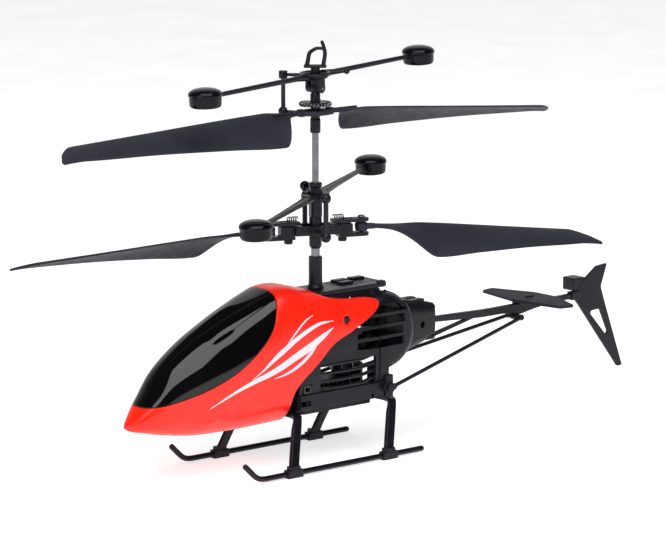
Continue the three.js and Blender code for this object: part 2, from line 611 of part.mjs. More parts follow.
// One blade along +X.  The leading edge stays near the span axis; the trailing edge is on the side
// that `trail` names, below it, and the tip is raked back.
function blade({ start, tip, wide, droop, trail }) {
  const span = (share) => wide + share * (tip - 6.5 - wide);
  const stations = [
    { r: start, chord: 2.4, ahead: 1.2, pitch: 0, thick: 1.1 },
    { r: start + 3.5, chord: 3.0, ahead: 1.4, pitch: 4, thick: 1.0 },
    { r: wide, chord: 14.2, ahead: 2.2, pitch: 31, thick: 0.8 },
    { r: span(0.3), chord: 12.9, ahead: 2.4, pitch: 26, thick: 0.8 },
    { r: span(0.65), chord: 11.0, ahead: 2.4, pitch: 20, thick: 0.75 },
    { r: span(1), chord: 9.2, ahead: 2.4, pitch: 15, thick: 0.7 },
    { r: tip - 2.6, chord: 6.2, ahead: -0.6, pitch: 14, thick: 0.65 },
    { r: tip, chord: 1.6, ahead: -5.2, pitch: 14, thick: 0.6 },
  ];
  const across = 4;
  const rings = stations.map(({ r, chord, ahead, pitch, thick }) => {
    const [cos, sin] = [Math.cos(rad(pitch)), Math.sin(rad(pitch))];
    const camber = 0.05 * chord;
    const point = (share, lift) => {
      const back = share * chord - ahead;
      const up = 4 * camber * share * (1 - share) + lift;
      const sag = (r - start) * Math.tan(rad(droop));
      return new V3(r, trail * (back * cos + up * sin), up * cos - back * sin - sag);
    };
    const upper = Array.from({ length: across + 1 }, (_, i) => point(i / across, thick / 2));
    const lower = Array.from({ length: across + 1 }, (_, i) => point(1 - i / across, -thick / 2));
    return [...upper, ...lower];
  });
  return loft(rings);
}

// ---------------------------------------------------------------- flybar weights and linkage

function weight(x) {
  const [r, h] = [WEIGHT.radius, WEIGHT.height / 2];
  const body = turned([
    [0, -h], [r - 0.8, -h], [r, -h + 0.9], [r, h - 1.9], [r - 0.5, h - 1.0], [r - 1.5, h - 0.35], [0, h],
  ]).translate(x, 0, 0);
  const inner = x - Math.sign(x) * (r + 1);
  const end = x - Math.sign(x) * (r - 2.6);
  return cut(body, pinX(0.75, Math.min(inner, end), Math.max(inner, end), 0, 0, 8));
}

// Pushrod hanging from a ball at its local origin.  Both knobs are open towards the mast.
function pushrod(length, radius, knob, looseCup) {
  const low = new V3(0, 0, -length);
  const top = knob === 'round' ? ball(1.3, new V3()) : post(1.15, -0.9, 1.0, 0, 0, 12);
  const foot = ball(looseCup + 0.35, low);
  const slot = (z) => box(-3, 0, -0.6, 0.6, z - 0.75, z + 0.75);
  return cut(
    join(rod(new V3(0, 0, -0.8), new V3(0, 0, 0.95 - length), radius, 8), top, foot),
    ball(0.78, new V3(), 8), ball(looseCup, low, 8), slot(0), slot(-length));
}

const polar = (radius, bearing, z = 0) => (
  new V3(radius * Math.cos(rad(bearing)), radius * Math.sin(rad(bearing)), z));

// Where a point of a flybar lies on its head once the bar has tilted.
const tiltedPoint = (radius, bearing, rise, tilt) => (
  polar(radius, bearing, rise).applyAxisAngle(new V3(0, 1, 0), rad(tilt)));

// ---------------------------------------------------------------- upper rotor head

const upperHead = headGroup(UPPER.rotorZ, UPPER.rotorTurn);
const upperBar = headGroup(UPPER.flybarZ, UPPER.flybarTurn);

function upperHub() {
  const flybarUp = UPPER.flybarZ - UPPER.rotorZ;
  const body = turned([
    [0, -5.4], [1.35, -5.4], [1.35, -2.0], [1.2, -1.8], [1.2, 1.6], [3.15, 1.6], [3.15, 2.6], [1.2, 2.6],
    [1.2, 11.4], [0, 11.4],
  ]);
  const across = polar(1, UPPER.flybarTurn - UPPER.rotorTurn + 90);
  const alongPin = (distance) => across.clone().multiplyScalar(distance).setZ(flybarUp);
  const barrel = rod(alongPin(-1.3), alongPin(1.3), 1.35, 12);
  const pinHole = rod(alongPin(-3), alongPin(3), 0.45, 8);
  const trunnion = pinX(0.5, -4.5, 4.5, 0, 0, 8);
  const shaftBore = post(INNER_SHAFT.radius + FIT / 2, -7, INNER_SHAFT.top - UPPER.rotorZ + 0.2, 0, 0, 16);
  return cut(join(body, barrel, trunnion), pinHole, shaftBore);
}
part('upper_hub', upperHub(), blackPlastic(), upperHead);

part('hub_spring', new THREE.TorusGeometry(3.68, 0.5, 6, 24).translate(0, 0, 2.1), steel(), upperHead);

function upperRotor() {
  const ring = flatPlate(ellipseRing(4.9, 3.3, 3.4, 2.1), -0.7, 0.5, 8);
  const bosses = [1, -1].map((s) => box(s > 0 ? 3.5 : -5, s > 0 ? 5 : -3.5, -0.95, 0.95, -0.95, 0.95));
  const shape = { start: 4.4, tip: UPPER_TIP, wide: 15, droop: UPPER.droop, trail: 1 };
  const hornTurn = UPPER.armTurn - UPPER.rotorTurn;
  const hornBall = polar(UPPER.armRadius, hornTurn, UPPER.hornRise);
  const horn = rod(polar(4.0, hornTurn, 0), hornBall, 0.4, 8);
  return cut(
    join(ring, ...bosses, blade(shape), blade(shape).rotateZ(Math.PI), horn, ball(0.55, hornBall)),
    pinX(0.56, -4.6, 4.6, 0, 0, 12));
}
part('upper_rotor', upperRotor(), bladePlastic(), upperHead);

function upperFlybar() {
  const rise = UPPER.barRise;
  const hub = flatPlate(ellipseRing(4.3, 4.0, 2.5, 1.65), rise - 0.9, rise + 0.9, 8);
  const bars = [1, -1].map((s) => pinX(0.65, s * 3.4, s * BAR_END, 0, rise, 10));
  const lugs = [1, -1].flatMap((s) => [
    box(-1.2, 1.2, s > 0 ? 1.5 : -2.4, s > 0 ? 2.4 : -1.5, 0, rise - 0.2),
    pinY(1.3, s * 1.5, s * 2.4, 0, 0, 16),
  ]);
  const bearing = UPPER.armTurn - UPPER.flybarTurn;
  const arms = [0, 180].flatMap((half) => {
    const end = polar(UPPER.armRadius, bearing + half, UPPER.armRise);
    return [rod(polar(3.6, bearing + half, rise + 0.3), end, 0.45, 8), ball(half ? 0.85 : 0.65, end)];
  });
  return cut(join(hub, ...bars, ...lugs, ...arms), pinY(0.47, -3, 3, 0, 0, 12));
}
const upperTilted = new THREE.Group();
upperTilted.rotation.y = rad(UPPER.flybarTilt);
upperBar.add(upperTilted);
part('upper_flybar', upperFlybar(), blackPlastic(), upperTilted);
part('upper_flybar_pin', pinY(0.4, -2.6, 2.6, 0, 0, 12), steel(), upperBar);
part('upper_weight_a', weight(FLYBAR_RADIUS), glossBlack(), upperTilted).position.z = UPPER.barRise;
part('upper_weight_b', weight(-FLYBAR_RADIUS), glossBlack(), upperTilted).position.z = UPPER.barRise;

function hangUpperPushrod() {
  const bearing = UPPER.armTurn - UPPER.flybarTurn;
  const top = tiltedPoint(UPPER.armRadius, bearing, UPPER.armRise, UPPER.flybarTilt);
  const length = UPPER.flybarZ + top.z - (UPPER.rotorZ + UPPER.hornRise);
  const mesh = part('upper_pushrod', pushrod(length, 0.5, 'flat', 0.9), blackPlastic(), upperBar);
  mesh.position.copy(top);
  mesh.rotation.z = rad(bearing);
}
hangUpperPushrod();

// Bent-wire loop with a raised finger, on a small foot above the flybar.
function topHook() {
  const wire = 0.5;
  const runs = [
    [[-2.2, 0.2], [-1.5, 3.7], [0.5, 5.0], [2.3, 4.9]],
    [[2.0, 0.2], [2.45, 3.6], [2.3, 4.9], [1.6, 7.0]],
  ];
  const section = new THREE.Shape().absarc(0, 0, wire, 0, 2 * Math.PI);
  const wires = runs.map((run) => new THREE.ExtrudeGeometry(section, {
    extrudePath: new THREE.CatmullRomCurve3(run.map(([x, z]) => new V3(x, 0, z)), false, 'catmullrom', 0.3),
    steps: 9, curveSegments: 3, bevelEnabled: false,
  }));
  return join(box(-3.0, 2.9, -1.1, 1.1, 0, 0.7), ...wires);
}
const HOOK_BEARING = 139.5;
part('top_hook', topHook(), blackPlastic(), headGroup(UPPER.rotorZ + 11.5, HOOK_BEARING));

// ---------------------------------------------------------------- lower rotor head

const lowerHead = headGroup(LOWER.rotorZ, LOWER.rotorTurn);
const lowerBar = headGroup(LOWER.flybarZ, LOWER.flybarTurn);

function lowerHub() {
  const flybarUp = LOWER.flybarZ - LOWER.rotorZ;
  const body = turned([
    [0, -5.0], [1.45, -5.0], [1.65, -4.4], [1.65, 3.0], [1.5, 3.4], [1.5, 11.0], [1.75, 11.2], [1.75, 12.3],
    [0, 12.3],
  ]);
  const trunnions = [1, -1].map((s) => pinX(0.55, s * 1.2, s * 5.2, 0, 0, 8));
  const across = polar(1, LOWER.flybarTurn - LOWER.rotorTurn + 90);
  const alongPivot = (distance) => across.clone().multiplyScalar(distance).setZ(flybarUp);
  const stubs = [1, -1].map((s) => rod(alongPivot(s * 1.2), alongPivot(s * 3.0), 0.5, 8));
  const throughBore = post(INNER_SHAFT.radius + 3 * FIT, -6, 14);
  const shaftSocket = post(OUTER_SHAFT.radius + FIT / 2, -6, OUTER_SHAFT.top - LOWER.rotorZ + 0.2);
  return cut(join(body, ...trunnions, ...stubs), throughBore, shaftSocket);
}
part('lower_hub', lowerHub(), blackPlastic(), lowerHead);

// A strap along X from x0 to x1 with a rounded outer end.
function strap(x0, x1, half) {
  const shape = new THREE.Shape();
  shape.moveTo(x0, -half);
  shape.absarc(x1 - half, 0, half, -Math.PI / 2, Math.PI / 2);
  shape.lineTo(x0, half);
  return shape;
}

function lowerYoke() {
  const frame = cut(box(-6.2, 6.2, -3.1, 3.1, -1.2, 1.2), box(-4.0, 4.0, -2.2, 2.2, -2, 2));
  const lowerPlate = flatPlate(strap(6.0, 14.6, 1.8), -2.3, -1.3);
  const oneEnd = join(box(6.0, 9.8, -1.8, 1.8, -2.3, 1.2), lowerPlate, post(1.1, -3.4, -2.2, 6.6));
  const horns = [1, -1].flatMap((s) => {
    const end = new V3(0, s * LOWER.armRadius, -LOWER.hornDrop);
    return [rod(new V3(0, s * 2.8, -0.2), end, 0.45, 8), ball(0.65, end)];
  });
  const pinHoles = [1, -1].map((s) => post(0.55, -4, 4, s * LOWER.pin, 0, 14));
  return cut(
    join(frame, oneEnd, oneEnd.clone().rotateZ(Math.PI), ...horns),
    pinX(0.62, -5.6, 5.6, 0, 0, 12), ...pinHoles);
}
part('lower_yoke', lowerYoke(), blackPlastic(), lowerHead);

// Small coil lying along X on top of a grip.
class Coil extends THREE.Curve {
  getPoint(t) {
    const angle = 8 * Math.PI * t;
    return new V3(5.0 + 2.6 * t, 0.55 * Math.cos(angle), 3.35 + 0.55 * Math.sin(angle));
  }
}

function gripSpring() {
  const wire = new THREE.Shape().absarc(0, 0, 0.16, 0, 2 * Math.PI);
  const sweep = { extrudePath: new Coil(), steps: 32, curveSegments: 2, bevelEnabled: false };
  return new THREE.ExtrudeGeometry(wire, sweep);
}

function lowerBlade() {
  const neck = join(
    flatPlate(strap(-1.2, 4.2, 1.6), -0.55, 0.6), post(1.6, -1.0, 1.1, 0, 0, 18),
    blade({ start: 2.8, tip: ROTOR_TIP - LOWER.pin, wide: 17.5, droop: LOWER.droop, trail: -1 }));
  return cut(neck, post(0.6, -2, 2, 0, 0, 14));
}

const grips = [
  { tag: 'a', turn: 0, fold: LOWER.bladeTurnA },
  { tag: 'b', turn: 180, fold: LOWER.bladeTurnB },
];
grips.forEach(({ tag, turn, fold }) => {
  const side = headGroup(0, turn, lowerHead);
  const cap = cut(flatPlate(strap(4.6, 14.6, 1.8), 1.5, 2.5), post(0.55, 0, 4, LOWER.pin, 0, 14));
  part(`grip_cap_${tag}`, cap, blackPlastic(), side);
  part(`grip_spring_${tag}`, gripSpring(), steel(), side);
  const pin = join(post(0.5, -2.5, 2.7, 0, 0, 14), post(0.95, 2.6, 3.1));
  part(`blade_pin_${tag}`, pin, steel(), side).position.x = LOWER.pin;
  const bladeMesh = part(`lower_blade_${tag}`, lowerBlade(), bladePlastic(), side);
  bladeMesh.position.x = LOWER.pin;
  bladeMesh.rotation.z = rad(fold);
});

function lowerFlybar() {
  const hub = flatPlate(ellipseRing(4.6, 3.6, 2.35, 1.95), -0.6, 0.6, 8);
  const end = BAR_END;
  const bars = [1, -1].map((s) => {
    const flat = outline([[s * 3.8, -1.5], [s * 12, -0.95], [s * (end - 3.5), -0.5], [s * end, -0.45],
      [s * end, 0.45], [s * (end - 3.5), 0.5], [s * 12, 0.95], [s * 3.8, 1.5]]);
    return flatPlate(flat, -0.45, 0.45);
  });
  const ridges = [1, -1].map((s) => box(
    s > 0 ? 4 : 4 - end, s > 0 ? end - 4 : -4, -0.3, 0.3, -0.65, 0.4));
  const boss = box(-0.95, 0.95, 1.95, 3.5, -0.95, 0.95);
  const bosses = [boss, boss.clone().rotateZ(Math.PI)];
  const bearing = LOWER.rotorTurn + 90 - LOWER.flybarTurn;
  const arms = [0, 180].flatMap((half) => {
    const tip = polar(LOWER.armRadius, bearing + half, LOWER.armRise);
    return [rod(polar(3.4, bearing + half, 0), tip, 0.5, 8), ball(0.65, tip)];
  });
  return cut(join(hub, ...bars, ...ridges, ...bosses, ...arms), pinY(0.57, -3.1, 3.1, 0, 0, 12));
}
const lowerTilted = new THREE.Group();
lowerTilted.rotation.y = rad(LOWER.flybarTilt);
lowerBar.add(lowerTilted);
part('lower_flybar', lowerFlybar(), blackPlastic(), lowerTilted);
part('lower_weight_a', weight(FLYBAR_RADIUS), glossBlack(), lowerTilted);
part('lower_weight_b', weight(-FLYBAR_RADIUS), glossBlack(), lowerTilted);

function hangLowerPushrod(tag, half) {
  const bearing = LOWER.rotorTurn + 90 - LOWER.flybarTurn + half;
  const top = tiltedPoint(LOWER.armRadius, bearing, LOWER.armRise, LOWER.flybarTilt);
  const length = LOWER.flybarZ + top.z - (LOWER.rotorZ - LOWER.hornDrop);
  const mesh = part(`lower_pushrod_${tag}`, pushrod(length, 0.6, 'round', 1.0), blackPlastic(), lowerBar);
  mesh.position.copy(top);
  mesh.rotation.z = rad(bearing);
}
hangLowerPushrod('a', 0);
hangLowerPushrod('b', 180);

export default helicopter;
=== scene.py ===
"""Visual model of the coaxial toy helicopter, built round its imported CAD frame.

Shapes are drawn in millimetres with z = 0 on the ground, the rotor shaft at x = y = 0, +X towards the
nose and +Y to port.  piece() turns them into metres in the frame's own coordinates.
"""

import json
import math

import bmesh
import bpy
from mathutils import Matrix, Vector


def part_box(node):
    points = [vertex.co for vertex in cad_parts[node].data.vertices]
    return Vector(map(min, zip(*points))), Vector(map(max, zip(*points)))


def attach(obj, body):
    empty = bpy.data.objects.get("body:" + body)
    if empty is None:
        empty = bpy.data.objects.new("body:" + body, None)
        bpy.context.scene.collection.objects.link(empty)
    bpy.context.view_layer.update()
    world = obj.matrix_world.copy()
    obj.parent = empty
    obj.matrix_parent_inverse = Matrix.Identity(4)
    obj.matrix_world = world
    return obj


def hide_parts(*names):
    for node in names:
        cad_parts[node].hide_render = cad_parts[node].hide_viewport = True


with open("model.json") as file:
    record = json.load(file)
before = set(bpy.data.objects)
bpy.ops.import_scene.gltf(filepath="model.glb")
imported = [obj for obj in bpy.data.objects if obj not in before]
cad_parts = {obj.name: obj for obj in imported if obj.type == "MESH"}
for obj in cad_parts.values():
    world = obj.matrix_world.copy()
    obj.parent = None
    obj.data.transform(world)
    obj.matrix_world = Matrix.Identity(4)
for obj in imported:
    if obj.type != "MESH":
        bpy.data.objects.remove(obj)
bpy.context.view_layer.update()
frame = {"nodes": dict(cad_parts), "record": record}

MM = 0.001
GROUND = -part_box("legs_front")[0].z / MM      # the ground lies this far below the frame's origin

# ---------------------------------------------------------------- numbers


def rad(degrees):
    return math.radians(degrees)


def catmull(points, per_span=16):
    """Dense points of a uniform Catmull-Rom curve through the given points."""
    points = [Vector(p) for p in points]
    last = len(points) - 1
    dense = []
    for i in range(last):
        p0, p1, p2, p3 = points[max(i - 1, 0)], points[i], points[i + 1], points[min(i + 2, last)]
        v0, v1 = (p2 - p0) * 0.5, (p3 - p1) * 0.5
        for k in range(per_span):
            t = k / per_span
            dense.append((2 * t**3 - 3 * t**2 + 1) * p1 + (t**3 - 2 * t**2 + t) * v0
                         + (3 * t**2 - 2 * t**3) * p2 + (t**3 - t**2) * v1)
    dense.append(points[last])
    return dense


def table(points, per_span=16):
    """A function of x read off a curve through (x, value) points, with x rising."""
    dense = catmull(points, per_span)

    def value(x):
        if x <= dense[0][0]:
            return dense[0][1]
        for a, b in zip(dense, dense[1:]):
            if x <= b[0]:
                return a[1] + (b[1] - a[1]) * (x - a[0]) / (b[0] - a[0])
        return dense[-1][1]

    return value


def steady(points):
    """A function of x through (x, value) points that never overshoots them (monotone cubic)."""
    xs, ys = [p[0] for p in points], [p[1] for p in points]
    slope = [(ys[i + 1] - ys[i]) / (xs[i + 1] - xs[i]) for i in range(len(xs) - 1)]
    tangent = [slope[0]]
    for a, b in zip(slope, slope[1:]):
        tangent.append(0.0 if a * b <= 0 else 2 * a * b / (a + b))
    tangent.append(slope[-1])

    def value(x):
        x = min(max(x, xs[0]), xs[-1])
        i = max(k for k in range(len(xs) - 1) if xs[k] <= x)
        h = xs[i + 1] - xs[i]
        t = (x - xs[i]) / h
        return ((2 * t**3 - 3 * t**2 + 1) * ys[i] + (t**3 - 2 * t**2 + t) * h * tangent[i]
                + (3 * t**2 - 2 * t**3) * ys[i + 1] + (t**3 - t**2) * h * tangent[i + 1])

    return value


def spaced(low, high, count):
    return [low + (high - low) * i / (count - 1) for i in range(count)]


def rounded(points, radius, steps=4, closed=True):
    """The same outline with its corners rounded."""
    points = [Vector(p) for p in points]
    count = len(points)
    out = []
    for i, corner in enumerate(points):
        if not closed and i in (0, count - 1):
            out.append(corner)
            continue
        before, after = points[i - 1] - corner, points[(i + 1) % count] - corner
        reach = min(radius, 0.45 * before.length, 0.45 * after.length)
        start, end = corner + before.normalized() * reach, corner + after.normalized() * reach
        for k in range(steps + 1):
            t = k / steps
            out.append(start * (1 - t)**2 + corner * 2 * t * (1 - t) + end * t**2)
    return [tuple(p) for p in out]


def smoothstep(t):
    t = min(max(t, 0.0), 1.0)
    return t * t * (3 - 2 * t)


def oval(rx, ry, sides=48, cx=0.0, cy=0.0):
    return [(cx + rx * math.cos(2 * math.pi * i / sides), cy + ry * math.sin(2 * math.pi * i / sides))
            for i in range(sides)]


def polar(radius, bearing, z=0.0):
    return Vector((radius * math.cos(rad(bearing)), radius * math.sin(rad(bearing)), z))


# ---------------------------------------------------------------- meshes


def outward(bm):
    bmesh.ops.recalc_face_normals(bm, faces=bm.faces)
    if bm.calc_volume(signed=True) < 0:
        bmesh.ops.reverse_faces(bm, faces=bm.faces)
    mesh = bpy.data.meshes.new("work")
    bm.to_mesh(mesh)
    bm.free()
    return mesh


def build(verts, faces, soften=0.0, edges=None):
    """A closed mesh, with the edges that `edges` picks (or every edge) rounded by `soften`."""
    bm = bmesh.new()
    made = [bm.verts.new(v) for v in verts]
    for face in faces:
        bm.faces.new([made[i] for i in face])
    if soften:
        bmesh.ops.recalc_face_normals(bm, faces=bm.faces)     # the bevel needs faces wound alike
        chosen = [e for e in bm.edges if edges is None or edges(e)]
        bmesh.ops.bevel(bm, geom=chosen, offset=soften, segments=2, profile=0.6, affect="EDGES",
                        clamp_overlap=True)
    bmesh.ops.remove_doubles(bm, verts=bm.verts, dist=1e-5)
    return outward(bm)


def loft(rings, around=False):
    """A skin through rings of points, closed by flat ends, or joined up when it runs around."""
    n, count = len(rings[0]), len(rings)
    faces = []
    for i in range(count if around else count - 1):
        a, b = i * n, (i + 1) % count * n
        faces += [(a + j, a + (j + 1) % n, b + (j + 1) % n, b + j) for j in range(n)]
    if not around:
        faces += [tuple(range(n)), tuple(range((count - 1) * n, count * n))]
    return build([p for ring in rings for p in ring], faces)


def turned(profile, sides=40):
    """A part turned about Z from (radius, height) corners; a profile that ends where it began is a ring."""
    ring = tuple(profile[0]) == tuple(profile[-1])
    verts, rows = [], []
    for r, z in profile[:-1] if ring else profile:
        count = 1 if r < 1e-6 else sides
        rows.append([len(verts) + j for j in range(count)])
        verts += [tuple(polar(r, 360 * j / sides, z)) for j in range(count)]
    faces = []
    for low, high in zip(rows, rows[1:] + rows[:1] if ring else rows[1:]):
        for j in range(sides):
            k = (j + 1) % sides
            corners = [low[j % len(low)], low[k % len(low)], high[k % len(high)], high[j % len(high)]]
            corners = list(dict.fromkeys(corners))
            if len(corners) > 2:
                faces.append(corners)
    return build(verts, faces)


def spun(corners, soften=0.15, sides=40):
    """A solid turned part whose outer corners are softened."""
    return turned(rounded(corners, soften, 3, closed=False), sides)


def collar(outer, inner, z0, z1, soften=0.1, sides=40):
    ring = rounded([(inner, z0), (outer, z0), (outer, z1), (inner, z1)], soften, 3)
    return turned(ring + ring[:1], sides)


def is_rim(edge):
    return abs(edge.verts[0].co.z - edge.verts[1].co.z) < 1e-6


def plate(outline, z0, z1, soften=0.15):
    n = len(outline)
    verts = [(x, y, z) for z in (z0, z1) for x, y in outline]
    faces = [tuple(range(n)), tuple(range(n, 2 * n))]
    faces += [(i, (i + 1) % n, n + (i + 1) % n, n + i) for i in range(n)]
    return build(verts, faces, soften, is_rim)


def side_plate(outline, y0, y1, soften=0.15):
    """A plate whose outline is drawn in X-Z."""
    return moved(plate(outline, -y1, -y0, soften), Matrix.Rotation(rad(90), 4, "X"))


def box(x0, x1, y0, y1, z0, z1, soften=0.15):
    verts = [(x, y, z) for x in (x0, x1) for y in (y0, y1) for z in (z0, z1)]
    faces = [(0, 1, 3, 2), (4, 5, 7, 6), (0, 1, 5, 4), (2, 3, 7, 6), (0, 2, 6, 4), (1, 3, 7, 5)]
    return build(verts, faces, soften)


def moved(mesh, matrix):
    copy = mesh.copy()
    copy.transform(matrix)
    if matrix.determinant() < 0:
        copy.flip_normals()
    return copy


def shifted(mesh, x=0.0, y=0.0, z=0.0):
    return moved(mesh, Matrix.Translation((x, y, z)))


def spin(mesh, degrees):
    return moved(mesh, Matrix.Rotation(rad(degrees), 4, "Z"))


def mirrored(mesh):
    return moved(mesh, Matrix.Scale(-1, 4, (0, 1, 0)))


def rod(start, end, radius, end_radius=None, sides=24, soften=0.12):
    start, end = Vector(start), Vector(end)
    far = radius if end_radius is None else end_radius
    length = (end - start).length
    bar = spun([(0, 0), (radius, 0), (far, length), (0, length)], soften, sides)
    return moved(bar, Matrix.Translation(start) @ (end - start).to_track_quat("Z", "Y").to_matrix().to_4x4())


def post(radius, z0, z1, x=0.0, y=0.0, sides=36, soften=0.12):
    return rod((x, y, z0), (x, y, z1), radius, sides=sides, soften=soften)


def pin_y(radius, y0, y1, x, z, sides=32, soften=0.12):
    return rod((x, y0, z), (x, y1, z), radius, sides=sides, soften=soften)


def pin_x(radius, x0, x1, y=0.0, z=0.0, sides=32, soften=0.12):
    return rod((x0, y, z), (x1, y, z), radius, sides=sides, soften=soften)


def ball(radius, at, sides=28):
    half = sides // 2
    arc = [(radius * math.sin(math.pi * i / half), -radius * math.cos(math.pi * i / half))
           for i in range(half + 1)]
    return moved(turned(arc, sides), Matrix.Translation(Vector(at)))


def sweep(path, radius, sides=14, around=False):
    """A round wire along a path; radius may be a function of the share travelled."""
    path = [Vector(p) for p in path]
    count = len(path)
    rings = []
    up = None
    for i, point in enumerate(path):
        ahead = path[(i + 1) % count] if around or i + 1 < count else point
        behind = path[i - 1] if around or i > 0 else point
        along = (ahead - behind).normalized()
        if up is None:
            up = along.orthogonal().normalized()
        up = (up - along * up.dot(along)).normalized()
        side = along.cross(up)
        r = radius(i / (count - 1)) if callable(radius) else radius
        rings.append([tuple(point + r * (up * math.cos(2 * math.pi * j / sides)
                                         + side * math.sin(2 * math.pi * j / sides)))
                      for j in range(sides)])
    return loft(rings, around)


def blunt(share, reach=0.06):
    """Radius factor that rounds both ends of a swept wire."""
    near = min(share, 1 - share) / reach
    return math.sqrt(max(0.05, 1 - (1 - min(near, 1.0))**2))


def check_closed(mesh):
    """A Boolean skips an open mesh without stopping the script, so an open one stops it here."""
    bm = bmesh.new()
    bm.from_mesh(mesh)
    open_edges = sum(1 for edge in bm.edges if not edge.is_manifold)
    bm.free()
    if open_edges:
        raise ValueError(f"{open_edges} open edges in a mesh with {len(mesh.vertices)} vertices")


def combine(operation, first, rest):
    check_closed(first)
    for other in rest:
        check_closed(other)
        a, b = bpy.data.objects.new("a", first), bpy.data.objects.new("b", other)
        for o in (a, b):
            bpy.context.scene.collection.objects.link(o)
        modifier = a.modifiers.new("combine", "BOOLEAN")
        modifier.operation, modifier.solver, modifier.object = operation, "MANIFOLD", b
        evaluated = a.evaluated_get(bpy.context.evaluated_depsgraph_get())
        first = bpy.data.meshes.new_from_object(evaluated)
        bpy.data.objects.remove(a)
        bpy.data.objects.remove(b)
    return first


def join(first, *rest):
    return combine("UNION", first, rest)


def cut(first, *rest):
    return combine("DIFFERENCE", first, rest)


def overlap(first, *rest):
    return combine("INTERSECT", first, rest)


# ---------------------------------------------------------------- materials


def graph(name):
    material = bpy.data.materials.new(name)
    material.use_nodes = True
    nodes, links = material.node_tree.nodes, material.node_tree.links
    return material, nodes, links, nodes["Principled BSDF"]


def noise(nodes, links, scale, detail=3.0, stretch=(1, 1, 1)):
    """Noise fixed to the object, with `scale` features per metre."""
    place = nodes.new("ShaderNodeTexCoord")
    mapping = nodes.new("ShaderNodeMapping")
    mapping.inputs["Scale"].default_value = stretch
    texture = nodes.new("ShaderNodeTexNoise")
    texture.inputs["Scale"].default_value = scale
    texture.inputs["Detail"].default_value = detail
    links.new(place.outputs["Object"], mapping.inputs["Vector"])
    links.new(mapping.outputs["Vector"], texture.inputs["Vector"])
    return texture.outputs["Fac"]


def span(nodes, links, value, low, high):
    """Maps a noise value, which stays near the middle of 0 to 1, onto low to high."""
    node = nodes.new("ShaderNodeMapRange")
    node.inputs["From Min"].default_value = 0.3
    node.inputs["From Max"].default_value = 0.7
    node.inputs["To Min"].default_value = low
    node.inputs["To Max"].default_value = high
    links.new(value, node.inputs["Value"])
    return node.outputs["Result"]


def mix(nodes, links, factor, a, b):
    node = nodes.new("ShaderNodeMix")
    node.data_type = "RGBA"
    links.new(factor, node.inputs["Factor"])
    for socket, value in ((node.inputs[6], a), (node.inputs[7], b)):
        if isinstance(value, tuple):
            socket.default_value = (*value, 1)
        else:
            links.new(value, socket)
    return node.outputs[2]


def surface(name, dark, light, roughness, grain=5000.0, depth=0.03, metallic=0.0, coat=0.0,
            worn=None, patches=70.0, streak=(1, 1, 1), edge=0.12, rough_swing=0.06, specular=0.5):
    """Moulded or metal surface: slow colour drift, fine grain in the bump, and rubbed edges."""
    material, nodes, links, shader = graph(name)
    shader.inputs["Metallic"].default_value = metallic
    shader.inputs["Specular IOR Level"].default_value = specular
    shader.inputs["Coat Weight"].default_value = coat
    shader.inputs["Coat Roughness"].default_value = 0.06
    drift = span(nodes, links, noise(nodes, links, patches), 0.0, 1.0)
    colour = mix(nodes, links, drift, dark, light)
    if worn:
        geometry = nodes.new("ShaderNodeNewGeometry")
        rubbed = nodes.new("ShaderNodeMapRange")
        rubbed.inputs["From Min"].default_value = 0.53
        rubbed.inputs["From Max"].default_value = 0.62
        rubbed.inputs["To Max"].default_value = 0.5
        links.new(geometry.outputs["Pointiness"], rubbed.inputs["Value"])
        colour = mix(nodes, links, rubbed.outputs["Result"], colour, worn)
    links.new(colour, shader.inputs["Base Color"])
    fine = noise(nodes, links, grain, 2.0, streak)
    links.new(span(nodes, links, noise(nodes, links, grain * 0.12, 3.0, streak),
                   roughness - rough_swing, roughness + rough_swing), shader.inputs["Roughness"])
    bump = nodes.new("ShaderNodeBump")
    bump.inputs["Strength"].default_value = 0.35
    bump.inputs["Distance"].default_value = depth * MM
    links.new(fine, bump.inputs["Height"])
    if edge:
        bevel = nodes.new("ShaderNodeBevel")
        bevel.samples = 4
        bevel.inputs["Radius"].default_value = edge * MM
        links.new(bevel.outputs["Normal"], bump.inputs["Normal"])
    links.new(bump.outputs["Normal"], shader.inputs["Normal"])
    return material


BLACK = surface("black_plastic", (0.004, 0.004, 0.007), (0.007, 0.007, 0.012), 0.34, worn=(0.022, 0.022, 0.032),
                specular=0.24)
BLADE = surface("blade_plastic", (0.010, 0.010, 0.019), (0.016, 0.016, 0.028), 0.6, grain=3200, depth=0.05,
                worn=(0.03, 0.03, 0.045), edge=0, specular=0.28)
GLOSS = surface("gloss_black", (0.002, 0.002, 0.005), (0.004, 0.004, 0.008), 0.14, grain=700, depth=0.01,
                edge=0, rough_swing=0.03, specular=0.18)
WINDOW = surface("window_black", (0.0012, 0.0012, 0.0016), (0.0025, 0.0025, 0.003), 0.045, grain=260,
                 depth=0.02, edge=0.15, rough_swing=0.015, specular=0.4)
RED = surface("red_shell", (0.92, 0.014, 0.004), (1.0, 0.022, 0.008), 0.26, grain=900, depth=0.012,
              edge=0.3, rough_swing=0.04, specular=0.4)
STRIPE = surface("stripe_paint", (0.94, 0.70, 0.76), (1.0, 0.80, 0.84), 0.34, grain=2600, depth=0.008, edge=0)
STEEL = surface("steel", (0.14, 0.137, 0.145), (0.20, 0.196, 0.205), 0.24, grain=9000, depth=0.01, metallic=1.0,
                patches=260, streak=(0.15, 0.15, 1), edge=0.05)
NYLON = surface("nylon", (0.022, 0.021, 0.022), (0.035, 0.034, 0.035), 0.42)
CAN = surface("motor_can", (0.05, 0.05, 0.055), (0.08, 0.08, 0.085), 0.34, grain=9000, depth=0.01, metallic=1.0)
FOIL = surface("battery_foil", (0.30, 0.32, 0.36), (0.42, 0.44, 0.48), 0.3, grain=1500, depth=0.08, metallic=0.8)
BOARD = surface("board", (0.014, 0.08, 0.03), (0.03, 0.13, 0.05), 0.38, patches=500)
